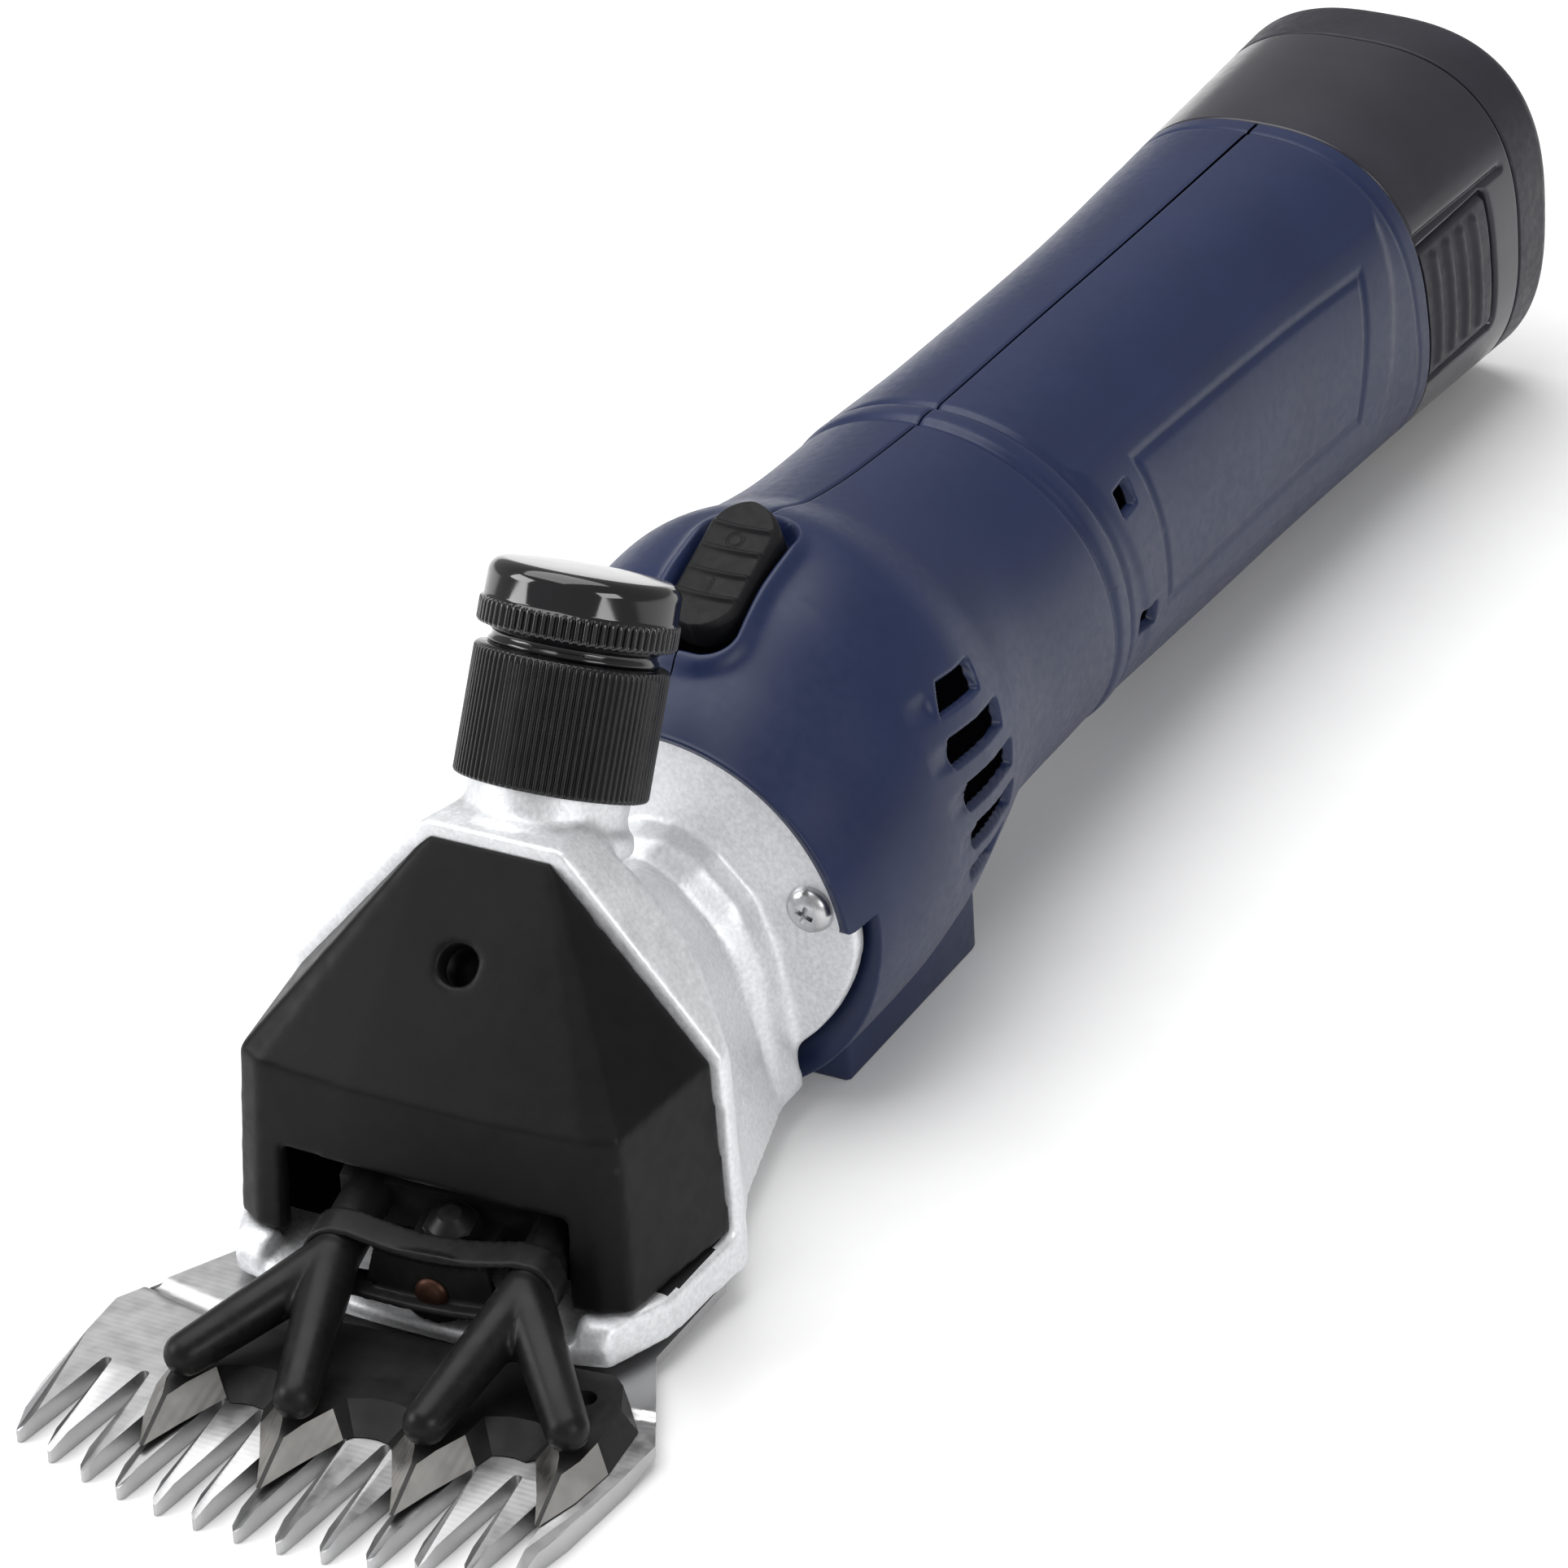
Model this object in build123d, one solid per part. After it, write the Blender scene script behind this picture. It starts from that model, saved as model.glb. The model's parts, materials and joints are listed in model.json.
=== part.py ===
from build123d import *
import math
import os

# Cordless sheep shears (a shearing handpiece). Millimetres, +Z up.
# The comb points along -X, the handle runs along +X, and Y = 0 is the plane of symmetry.
# While it is drawn, X = 0 is the front edge of the blue housing; on export the whole part is
# shifted along X so that the origin is the middle of the underside. Z = 0 is the table.

# ---------------------------------------------------------------- driving dimensions
GAP = 0.12                       # play between pieces that only sit next to each other
WALL = 2.4                       # wall of the moulded housing

# comb and cutter
TEETH = 13
TOOTH_PITCH = 6.35
COMB_TIP_X = -115.4              # middle tooth
COMB_TIP_SAG = 7.2               # how far back the outer tips stand
COMB_VALLEY_X = -92.6
COMB_TOP = 3.3                   # ground face that the cutter runs on
COMB_UNDER = 1.8                 # the plate behind the teeth
COMB_TOOTH_UNDER = 0.1
COMB_TOOTH_BACK_X = -84.0
COMB_SEAT_TOP = 4.4              # thicker where the casting bears on it
COMB_SEAT_X = -64.0
COMB_WIDEST = (-78.5, 41.6)
COMB_NECK = (-61.0, 32.0)
COMB_REAR_X = -42.0
CUTTER_TEETH = 4
CUTTER_THICK = 3.0
CUTTER_LIFT = 0.1                # film of oil between cutter and comb
COMB_SCREW = (-52.0, 16.0)
COMB_SCREW_R = 2.5
COMB_SCREW_HEAD_R = 4.6

# fork, fulcrum and crank
FULCRUM_X = -26.0
SWING = 6.0                      # half of the fork's swing, degrees; it rests at one end of it
FULCRUM_TOP = 19.0
FOOT_Y = 14.0                    # the two feet, from the middle
STEM_R = 3.4
CRANK_Z = 27.8
ROLLER_X = (-11.0, -5.0)
ROLLER_R = 3.5
CRANK_THROW = ((ROLLER_X[0] + ROLLER_X[1]) / 2 - FULCRUM_X) * math.sin(math.radians(SWING))
SLOT_PLAY = 2 * CRANK_THROW + 0.3  # the crank linkage is left open here
SHAFT_R = 3.5

# head casting and cover
HEAD_FLOOR = 4.5
COVER_BOTTOM = 11.0
RIDGE_Z = 37.0
COVER_WALL = 2.0
WINDOW_HALF = 22.0
WINDOW_TOP = 24.5
FLANGE_X = (3.0, 6.2)
FLANGE_R = 29.6
FLANGE_LOW_R = 29.9
FLANGE_LOW_Z = 33.9
FLANGE_SCREW_R = 23.6
FLANGE_SCREW_ANGLES = (16.0, 164.0)
FLANGE_SCREW_HEAD_R = 3.6

# tension knob: its axis lies in the plane of symmetry and leans back
KNOB_BASE = (-25.0, 63.8)
KNOB_LEAN = 27.7
KNOB_R = 13.3
SLEEVE_H = 18.0
KNOB_H = 29.6
BOSS_R = 11.0
PIN_R = 2.5

# housing: front edge to the joint with the battery
HOUSING_REAR_TOP = 195.6
JOINT_SLOPE = 0.16               # the joint leans back towards the bottom
CAP_SEAM_TOP = 232.0
BATTERY_END_X = 245.8
LIP_R = 28.9
NOTCH_Z = 33.5
PAD_X = (12.5, 53.0)
PAD_HALF = 22.0

# gears and motor
MODULE = 0.8
PINION_TEETH = 10
GEAR_TEETH = 24
GEAR_X = (19.0, 27.0)
MOTOR_X = (38.0, 90.0)
MOTOR_R = 18.0
CRANK_BEARING_R = 9.5
MOTOR_Z = CRANK_Z + MODULE * (PINION_TEETH + GEAR_TEETH) / 2

# switch
SWITCH_SLOPE = 23.0
SWITCH_MID = (24.6, 70.6)
SWITCH_LENGTH = 19.0
SWITCH_HALF = 5.4
SWITCH_TRAVEL = 2.5

# battery
TOWER_X = 152.0
TOWER_INSET = 3.2
TOWER_TOP = 59.4                 # clears the narrower rear of the handle on its way out
CELL_R = 9.1
CELL_LENGTH = 65.0
LATCH_Z = (18.5, 43.5)
LATCH_X = (199.5, 224.0)

ROW_X = -(COMB_TIP_X + BATTERY_END_X) / 2

# stations along the body: x, top, half width, bottom, power of the superellipse
STATIONS = (
    (0.0, 58.5, 30.5, -2.0, 2.0),
    (10.0, 64.5, 32.5, -2.0, 2.0),
    (24.0, 72.0, 33.8, -2.0, 2.0),
    (36.0, 73.8, 33.2, -1.0, 2.0),
    (49.0, 70.0, 31.0, 3.0, 2.0),
    (63.0, 67.8, 28.6, 7.0, 2.0),
    (86.0, 66.0, 27.4, 7.4, 2.1),
    (115.0, 65.0, 25.3, 5.0, 2.2),
    (155.0, 63.5, 24.9, 2.8, 2.3),
    (200.0, 62.3, 26.4, 1.8, 2.5),
    (233.0, 61.3, 28.0, 0.5, 2.6),
    (250.0, 60.8, 28.6, -0.3, 2.7),
)
SECTION_POINTS = 28

COLOURS = {
    "blue": Color(0.17, 0.22, 0.36),
    "silver": Color(0.75, 0.76, 0.77),
    "black": Color(0.06, 0.06, 0.065),
    "steel": Color(0.55, 0.55, 0.56),
    "copper": Color(0.45, 0.28, 0.18),
    "green": Color(0.1, 0.3, 0.15),
}


# ---------------------------------------------------------------- helpers
def box(x, y, z):
    """A block from its low and high values along each axis."""
    size = [high - low for low, high in (x, y, z)]
    middle = [(high + low) / 2 for low, high in (x, y, z)]
    return Pos(*middle) * Box(*size)


def rod_x(radius, x, y=0.0, z=0.0):
    """A cylinder along X between two values of x."""
    return Pos((x[0] + x[1]) / 2, y, z) * Rot(0, 90, 0) * Cylinder(radius, x[1] - x[0])


def rod_y(radius, x, y, z):
    return Pos(x, (y[0] + y[1]) / 2, z) * Rot(90, 0, 0) * Cylinder(radius, y[1] - y[0])


def rod_z(radius, x, y, z):
    return Pos(x, y, (z[0] + z[1]) / 2) * Cylinder(radius, z[1] - z[0])


def mirrored(points):
    """Points of one side, then the same points on the other side of the plane of symmetry."""
    return [(x, y, z) for x, y, z in points] + [(x, -y, z) for x, y, z in points]


def block(points):
    """The convex solid round a list of points and their mirror images."""
    return ConvexPolyhedron(mirrored(points))


def plate(outline, z):
    """A flat plate: an outline of (x, y) points, from z[0] to z[1]."""
    face = make_face(Polyline(*outline, close=True))
    return Pos(0, 0, z[0]) * extrude(face, z[1] - z[0])


def signed_power(value, power):
    return math.copysign(abs(value) ** power, value)


def section(x, top, half, bottom, power):
    """One closed cross-section of the body: a superellipse on the plane at x."""
    points = []
    for step in range(SECTION_POINTS):
        turn = 2 * math.pi * (step + 0.5) / SECTION_POINTS
        y = half * signed_power(math.cos(turn), 2 / power)
        z = (top - bottom) / 2 * signed_power(math.sin(turn), 2 / power)
        points.append((x, y, z + (top + bottom) / 2))
    return Wire(Spline(*points, periodic=True))


def body(inset=0.0, stations=STATIONS):
    """The smooth body of the handle, drawn in from its outside by the inset."""
    wires = [section(x, top - inset, half - inset, bottom + inset, power)
             for x, top, half, bottom, power in stations]
    return Solid.make_loft(wires)


def behind_joint(x_top, slope):
    """Everything behind a plane that crosses the top of the body at x_top and leans back below."""
    drop = 90.0
    far = 120.0
    top = STATIONS[9][1]
    outline = [(x_top - 20 * slope, top + 20), (x_top + far, top + 20),
               (x_top + far, top - drop), (x_top + drop * slope, top - drop)]
    face = make_face(Plane.XZ * Polyline(*outline, close=True))
    return extrude(face, 60, both=True)


def on_knob(shape):
    """Places a shape drawn on Z at the foot of the tension knob's leaning axis."""
    return Pos(KNOB_BASE[0], 0, KNOB_BASE[1]) * Rot(0, KNOB_LEAN, 0) * shape


def swung(shape):
    """Turns a piece of the fork from the middle to where the fork rests."""
    return Pos(FULCRUM_X, 0, 0) * Rot(0, 0, SWING) * Pos(-FULCRUM_X, 0, 0) * shape


def tube(outer, inner, height):
    return Pos(0, 0, height / 2) * (Cylinder(outer, height) - Cylinder(inner, height + 1))


def gear(teeth, x, bore, axis_z, turn=0.0, slack=0.10):
    """A spur gear along X with straight-flanked teeth, thinned by the slack for backlash."""
    pitch_r = MODULE * teeth / 2
    root_r = pitch_r - 1.15 * MODULE
    tip_r = pitch_r + 0.8 * MODULE
    step = 2 * math.pi / teeth
    half = step / 4 - slack / pitch_r
    spread = {root_r: half * 1.55, pitch_r: half, tip_r: half * 0.42}
    outline = []
    for tooth in range(teeth):
        middle = tooth * step + math.radians(turn)
        flank = [(radius, middle - spread[radius]) for radius in (root_r, pitch_r, tip_r)]
        flank += [(radius, middle + spread[radius]) for radius in (tip_r, pitch_r, root_r)]
        outline += [(radius * math.cos(a), radius * math.sin(a)) for radius, a in flank]
    face = make_face(Polyline(*outline, close=True)) - Circle(bore)
    return Pos(x[0], 0, axis_z) * Rot(0, 90, 0) * extrude(face, x[1] - x[0])


def polar(radius, degrees):
    return radius * math.cos(math.radians(degrees)), radius * math.sin(math.radians(degrees))


# ---------------------------------------------------------------- comb and cutter
def comb_tip_x(y):
    return COMB_TIP_X + COMB_TIP_SAG * (y / (TOOTH_PITCH * (TEETH - 1) / 2)) ** 2


def comb():
    last = TOOTH_PITCH * (TEETH - 1) / 2
    tip = 0.6
    outline = [(COMB_REAR_X, COMB_NECK[1]), COMB_NECK, COMB_WIDEST]
    for tooth in range(TEETH):
        y = last - tooth * TOOTH_PITCH
        outline += [(comb_tip_x(y), y + tip), (comb_tip_x(y), y - tip)]
        if tooth < TEETH - 1:
            valley = y - TOOTH_PITCH / 2
            root_x = COMB_VALLEY_X + 2.4 * (valley / last) ** 2
            outline += [(root_x - 1.5, valley + 0.9), (root_x, valley + 0.4),
                        (root_x, valley - 0.4), (root_x - 1.5, valley - 0.9)]
    outline += [(COMB_WIDEST[0], -COMB_WIDEST[1]), (COMB_NECK[0], -COMB_NECK[1]),
                (COMB_REAR_X, -COMB_NECK[1])]
    blade = plate(outline, (COMB_TOOTH_UNDER, COMB_SEAT_TOP))
    front = box((-130, COMB_SEAT_X), (-60, 60), (COMB_TOP, 10))
    blade = blade - front - box((COMB_TOOTH_BACK_X, 0), (-60, 60), (-1, COMB_UNDER))
    for side in (-1, 1):
        y = side * COMB_SCREW[1]
        slot = box((COMB_SCREW[0], COMB_REAR_X + 1), (y - 2.65, y + 2.65), (0, 10))
        blade = blade - slot - rod_z(2.65, COMB_SCREW[0], y, (0, 10))
    return blade


def comb_screws():
    solids = []
    for side in (-1, 1):
        y = side * COMB_SCREW[1]
        screw = rod_z(COMB_SCREW_HEAD_R, COMB_SCREW[0], y, (0, COMB_UNDER))
        screw = screw + rod_z(COMB_SCREW_R - 0.05, COMB_SCREW[0], y, (COMB_UNDER, 8.6))
        slot = box((COMB_SCREW[0] - 6, COMB_SCREW[0] + 6), (y - 0.6, y + 0.6), (-1, 0.9))
        solids.append(screw - slot)
    return solids


def cutter():
    low = COMB_TOP + CUTTER_LIFT
    high = low + CUTTER_THICK
    tips = [(-103.4, 28.3), (-107.2, 9.5), (-107.2, -9.5), (-103.4, -28.3)]
    outline = [(-73.2, 27.0), (-75.0, 29.0), (-80.5, 32.6)]
    for number, (x, y) in enumerate(tips):
        above = 4.3 if number == 0 else 6.0
        below = 4.3 if number == CUTTER_TEETH - 1 else 6.0
        outline += [(x + 13.1, y + above), (x + 6.0, y + 2.7), (x, y + 0.4)]
        outline += [(x, y - 0.4), (x + 6.0, y - 2.7), (x + 13.1, y - below)]
        if number < CUTTER_TEETH - 1:
            middle = (y + tips[number + 1][1]) / 2
            root = (x + tips[number + 1][0]) / 2 + 14.6
            outline += [(root, middle + 2.0), (root, middle - 2.0)]
    outline += [(-80.5, -32.6), (-75.0, -29.0), (-73.2, -27.0)]
    blade = plate(outline, (low, high))
    ramp = Pos(-98, 0, high + 1.4) * Rot(0, -6.0, 0) * Box(40, 90, 2.0)
    blade = blade - ramp
    for side in (-1, 1):
        blade = blade - rod_z(1.6, -79.5, side * 24.7, (0, 10))
    for y in (-18.9, 0.0, 18.9):
        blade = blade - Pos(-87.6, y, high + 1.6) * Sphere(4.0)
    return swung(blade)


# ---------------------------------------------------------------- fork
def knob_point(height):
    """(x, z) of the point at a height along the tension knob's axis from the knob's foot."""
    lean = math.radians(KNOB_LEAN)
    return KNOB_BASE[0] + height * math.sin(lean), KNOB_BASE[1] + height * math.cos(lean)


def bar(start, end, radius_start, radius_end, play=0.0):
    """A round tapered bar between two points, with a rounded far end, grown by the play."""
    run = Vector(*end) - Vector(*start)
    wide = radius_start + play
    narrow = radius_end + play
    profile = make_face([Line((0, -play), (wide, -play)),
                         Line((wide, -play), (narrow, run.length)),
                         CenterArc((0, run.length), narrow, 0, 90),
                         Line((0, run.length + narrow), (0, -play))])
    return Plane(origin=start, z_dir=run) * revolve(Plane.XZ * profile, Axis.Z)


def fork_stem(side, radius):
    """The straight part of one foot, from inside the fork out through the window."""
    start = Vector(-57.0, side * FOOT_Y, 19.4)
    end = Vector(-73.5, side * FOOT_Y, 15.6)
    return Plane(origin=(start + end) / 2, z_dir=end - start) * Cylinder(radius, 17.0)


def foot_shape(side, play=0.0):
    """A stem and two round prongs that press on the cutter, before the fork is swung."""
    root = (-72.9, side * FOOT_Y, 15.7)
    outer = bar(root, (-90.6, side * 27.4, 9.6), 3.7, 3.05, play)
    inner = bar(root, (-95.0, side * 9.3, 9.6), 3.7, 3.05, play)
    return fork_stem(side, STEM_R + play) + outer + inner


def fork_foot(side):
    return swung(foot_shape(side))


def bolt_shape():
    """Hexagon-headed bolt on the tongue of the fork."""
    head = extrude(RegularPolygon(3.9, 6), 3.2)
    dome = Pos(0, 0, 3.2) * Cone(3.2, 1.6, 1.4, align=(Align.CENTER, Align.CENTER, Align.MIN))
    shank = Pos(0, 0, -2.0) * Cylinder(2.0, 4.2)
    return Pos(-64.0, 0, 16.6) * Rot(0, -14, 0) * (head + dome + shank)


def fork():
    hub = rod_z(8.5, FULCRUM_X, 0, (17.0, 26.5))
    arm = block([(-26, 8.0, 18.0), (-26, 8.0, 26.5), (-46, 10.0, 16.5), (-46, 9.0, 26.5)])
    front = block([(-45, 10.0, 16.5), (-45, 9.0, 26.5), (-57, 18.0, 15.0), (-57, 18.0, 22.5),
                   (-61, 18.0, 14.5), (-61, 18.0, 21.0)])
    tongue = block([(-58, 6.0, 14.0), (-58, 6.0, 18.6), (-71.2, 5.5, 11.6), (-71.2, 5.5, 15.2)])
    inside = ROLLER_R + SLOT_PLAY
    tail = block([(-28, 8.0, 20.0), (-28, 8.0, 26.0), (-13, inside + 2.2, 21.5),
                  (-13, inside + 2.2, 27.0)])
    shape = hub + arm + front + tongue + tail
    for low, high in ((inside, inside + 2.2), (-inside - 2.2, -inside)):
        shape = shape + box((-13.1, ROLLER_X[1]), (low, high), (21.5, 34.0))
    shape = shape - rod_z(4.05, FULCRUM_X, 0, (10, FULCRUM_TOP + 0.3))
    seat_x, seat_z = knob_point(-42.6)
    shape = shape - Pos(seat_x, 0, seat_z) * Rot(0, KNOB_LEAN, 0) * Pos(0, 0, 4) * Box(9, 12, 8)
    for side in (-1, 1):
        shape = shape - fork_stem(side, STEM_R + 0.04)
    shape = shape - bolt_shape() - belt(STEM_R + 1.05) - rod_x(1.32, (-74, -66), 0, 12.9)
    return swung(shape)


def fork_bolt():
    return swung(bolt_shape())


def belt(radius):
    """The outline that runs round both stems, across the stems."""
    lean = math.degrees(math.atan2(3.8, 16.5))
    outline = SlotCenterToCenter(2 * FOOT_Y, 2 * radius)
    face = Pos(-71.0, 0, 16.2) * Rot(0, -90 - lean, 0) * Rot(0, 0, 90) * outline
    return extrude(face, 2.1, both=True)


def fork_retainer():
    """A spring band looped round both feet, with a lobe riveted to the fork's tongue."""
    band = belt(STEM_R + 0.95) - belt(STEM_R + 0.1)
    lobe = box((-72.2, -71.25), (-9.0, 9.0), (12.2, 19.0)) + rod_x(5.4, (-72.2, -71.25), 0, 13.4)
    band = band + lobe
    for side in (-1, 1):
        band = band - foot_shape(side, 0.1)
    return swung(band - rod_x(1.35, (-80, -60), 0, 12.9))


def fork_rivet():
    return swung(rod_x(1.3, (-72.3, -66.1), 0, 12.9) + rod_x(2.3, (-73.2, -72.22), 0, 12.9))


def fulcrum_post():
    stud = rod_z(4.0, FULCRUM_X, 0, (9.0, FULCRUM_TOP - 2.0))
    dome = Pos(FULCRUM_X, 0, FULCRUM_TOP - 2.0) * Sphere(4.0)
    crown = (FULCRUM_TOP - 2.1, FULCRUM_TOP + 0.2)
    dome = dome & box((FULCRUM_X - 10, FULCRUM_X + 10), (-10, 10), crown)
    flange = rod_z(6.0, FULCRUM_X, 0, (9.0, 11.0))
    thread = rod_z(2.95, FULCRUM_X, 0, (5.0, 9.0))
    return stud + dome + flange + thread


# ---------------------------------------------------------------- head casting and cover
def head_outline():
    """Corners of the casting from the flange to the open front, one side."""
    rear = [(3.2, 17.0, 3.5), (3.2, 19.0, 12.0), (3.2, 17.5, 34.0), (3.2, 10.0, 45.0)]
    waist = [(-16.0, 22.0, 3.0), (-16.0, 23.0, 34.0), (-20.0, 11.0, 57.0)]
    front = [(-40.0, 34.2, 4.5), (-40.0, 33.4, 38.0), (-37.0, 10.5, 64.5)]
    return rear, waist, front


def inward(points, amount):
    """Moves the corners of one side towards the middle of the section."""
    moved = []
    for x, y, z in points:
        moved.append((x, y - amount, z + (amount if z < 20 else -amount)))
    return moved


def head_casting():
    rear, waist, front = head_outline()
    shell = block(rear + waist) + block(waist + front)
    seat = COVER_BOTTOM - GAP
    nose = block([(-39.0, 34.2, HEAD_FLOOR), (-39.0, 34.2, seat), (-58.0, 33.0, HEAD_FLOOR),
                  (-58.0, 33.0, seat), (-68.0, 29.0, HEAD_FLOOR), (-66.4, 29.0, seat),
                  (-68.6, 28.5, 8.0), (-70.4, 19.0, HEAD_FLOOR), (-70.4, 19.0, 8.0),
                  (-71.7, 6.0, HEAD_FLOOR), (-71.7, 6.0, 7.0)])
    hollow_rear = [(x - 0.5, y, z) for x, y, z in inward(rear, 3.0)]
    deep_front = [(-41.0, 31.2, 9.0), (-41.0, 30.4, 36.0), (-38.0, 7.5, 61.0)]
    deep_waist = [(-16.0, 19.0, 9.0), (-16.0, 20.0, 32.0), (-20.0, 8.0, 53.5)]
    hollow_rear = [(x, y, max(z, 9.0)) for x, y, z in hollow_rear]
    hollow = block(hollow_rear + deep_waist) + block(deep_waist + deep_front)
    tray = block([(-38.0, 31.2, 9.0), (-38.0, 31.2, 20.0), (-56.0, 29.5, 9.0),
                  (-56.0, 29.5, 20.0), (-64.0, 26.5, 9.0), (-64.0, 26.5, 20.0)])
    mouth = block([(-60.0, 23.0, 9.0), (-60.0, 23.0, 20.0), (-90.0, 26.0, 4.5),
                   (-90.0, 26.0, 20.0)])
    disc = (rod_x(FLANGE_R, FLANGE_X, 0, CRANK_Z)
            & rod_x(FLANGE_LOW_R, FLANGE_X, 0, FLANGE_LOW_Z))
    spigot = rod_x(13.0, (FLANGE_X[1] - 0.1, 16.0), 0, CRANK_Z)
    boss = on_knob(Pos(0, 0, -7.2) * Cylinder(BOSS_R, 20.0))
    collar = on_knob(Pos(0, 0, -5.2) * Cylinder(BOSS_R + 1.6, 1.6))
    thread = on_knob(Pos(0, 0, 6.8) * Cylinder(9.4, 8.4))
    keep = block([(-60, 40, -5), (-60, 40, 90), (8, 40, -5), (8, 40, 90)])
    casting = (shell + nose) - hollow - tray - mouth + disc + spigot
    casting = casting + ((boss + collar) & keep) + thread
    casting = casting - on_knob(Pos(0, 0, -10.0) * Cylinder(PIN_R + 0.05, 60.0))
    casting = casting - rod_x(12.0, (-3.0, 10.0), 0, CRANK_Z)
    casting = casting - rod_x(CRANK_BEARING_R + 0.02, (9.9, 16.5), 0, CRANK_Z)
    casting = casting - rod_z(3.0, FULCRUM_X, 0, (4.5, 9.5))
    for side in (-1, 1):
        casting = casting - rod_z(COMB_SCREW_R, COMB_SCREW[0], side * COMB_SCREW[1], (0, 12))
    for angle in FLANGE_SCREW_ANGLES:
        y, z = polar(FLANGE_SCREW_R, angle)
        casting = casting - rod_x(2.1, (0, 10), y, CRANK_Z + z)
        casting = casting - rod_x(FLANGE_SCREW_HEAD_R + 0.4, (-12, FLANGE_X[0]), y, CRANK_Z + z)
    return casting


def cover_points(inset):
    """Corners of the cover's outside on one side, drawn in by the inset."""
    i = inset
    return [(-66.6 + i, 12.0, COVER_BOTTOM - 2 * i), (-65.6 + i, 26.5, COVER_BOTTOM - 2 * i),
            (-63.2 + i, 30.6 - i, COVER_BOTTOM - 2 * i), (-41.0, 33.2 - i, COVER_BOTTOM - 2 * i),
            (-64.4 + i, 12.0, RIDGE_Z + 0.6 - i), (-63.6 + i, 25.5, RIDGE_Z - 0.2 - i),
            (-61.6 + i, 29.2 - i, RIDGE_Z - i), (-41.0, 31.8 - i, RIDGE_Z + 1.0 - i),
            (-41.0, 9.4 - 0.3 * i, 63.6 - 1.4 * i), (-38.0, 9.4 - 0.3 * i, 64.6 - 1.4 * i)]


def head_cover():
    outside = block(cover_points(0.0)) & box((-80, -40.2), (-50, 50), (COVER_BOTTOM, 70))
    inside = block(cover_points(COVER_WALL)) & box((-80, -30), (-50, 50), (0, 70))
    cover = outside - inside
    cover = cover - box((-75, -58), (-WINDOW_HALF, WINDOW_HALF), (0, WINDOW_TOP))
    oil = Pos(-52.0, 0, 50.0) * Rot(0, -49, 0) * Cylinder(2.9, 20)
    return cover - oil


def flange_screws():
    solids = []
    for angle in FLANGE_SCREW_ANGLES:
        y, z = polar(FLANGE_SCREW_R, angle)
        head = rod_x(FLANGE_SCREW_HEAD_R, (0.8, FLANGE_X[0]), y, CRANK_Z + z)
        shank = rod_x(1.95, (FLANGE_X[0], 15.0), y, CRANK_Z + z)
        recess = box((0, 2.0), (y - 0.5, y + 0.5), (CRANK_Z + z - 1.7, CRANK_Z + z + 1.7))
        recess = recess + box((0, 2.0), (y - 1.7, y + 1.7), (CRANK_Z + z - 0.5, CRANK_Z + z + 0.5))
        solids.append(head + shank - recess)
    return solids


# ---------------------------------------------------------------- tension knob
def tension_sleeve():
    shape = tube(KNOB_R, BOSS_R + 0.35, 4.5) + Pos(0, 0, 3.0) * tube(KNOB_R, 9.5, SLEEVE_H - 3.0)
    return on_knob(shape - Pos(0, 0, 12.0) * Cylinder(BOSS_R - 1.0, 2.0))


def tension_cap():
    neck = Pos(0, 0, SLEEVE_H + 0.05) * tube(11.6, 5.0, 2.2)
    ring = Pos(0, 0, SLEEVE_H + 2.2) * Cylinder(13.6, 3.6, align=(Align.CENTER, Align.CENTER,
                                                                Align.MIN))
    top = Pos(0, 0, SLEEVE_H + 5.8) * Cylinder(13.1, KNOB_H - SLEEVE_H - 5.8,
                                              align=(Align.CENTER, Align.CENTER, Align.MIN))
    socket = Pos(0, 0, SLEEVE_H) * Cylinder(5.0, 5.0, align=(Align.CENTER, Align.CENTER,
                                                           Align.MIN))
    return on_knob(neck + ring + top - socket)


def tension_pin():
    shaft = Pos(0, 0, -15.3) * Cylinder(PIN_R, 54.0)
    head = Pos(0, 0, 12.6) * Cylinder(4.4, 1.8)
    return on_knob(shaft + head)


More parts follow.
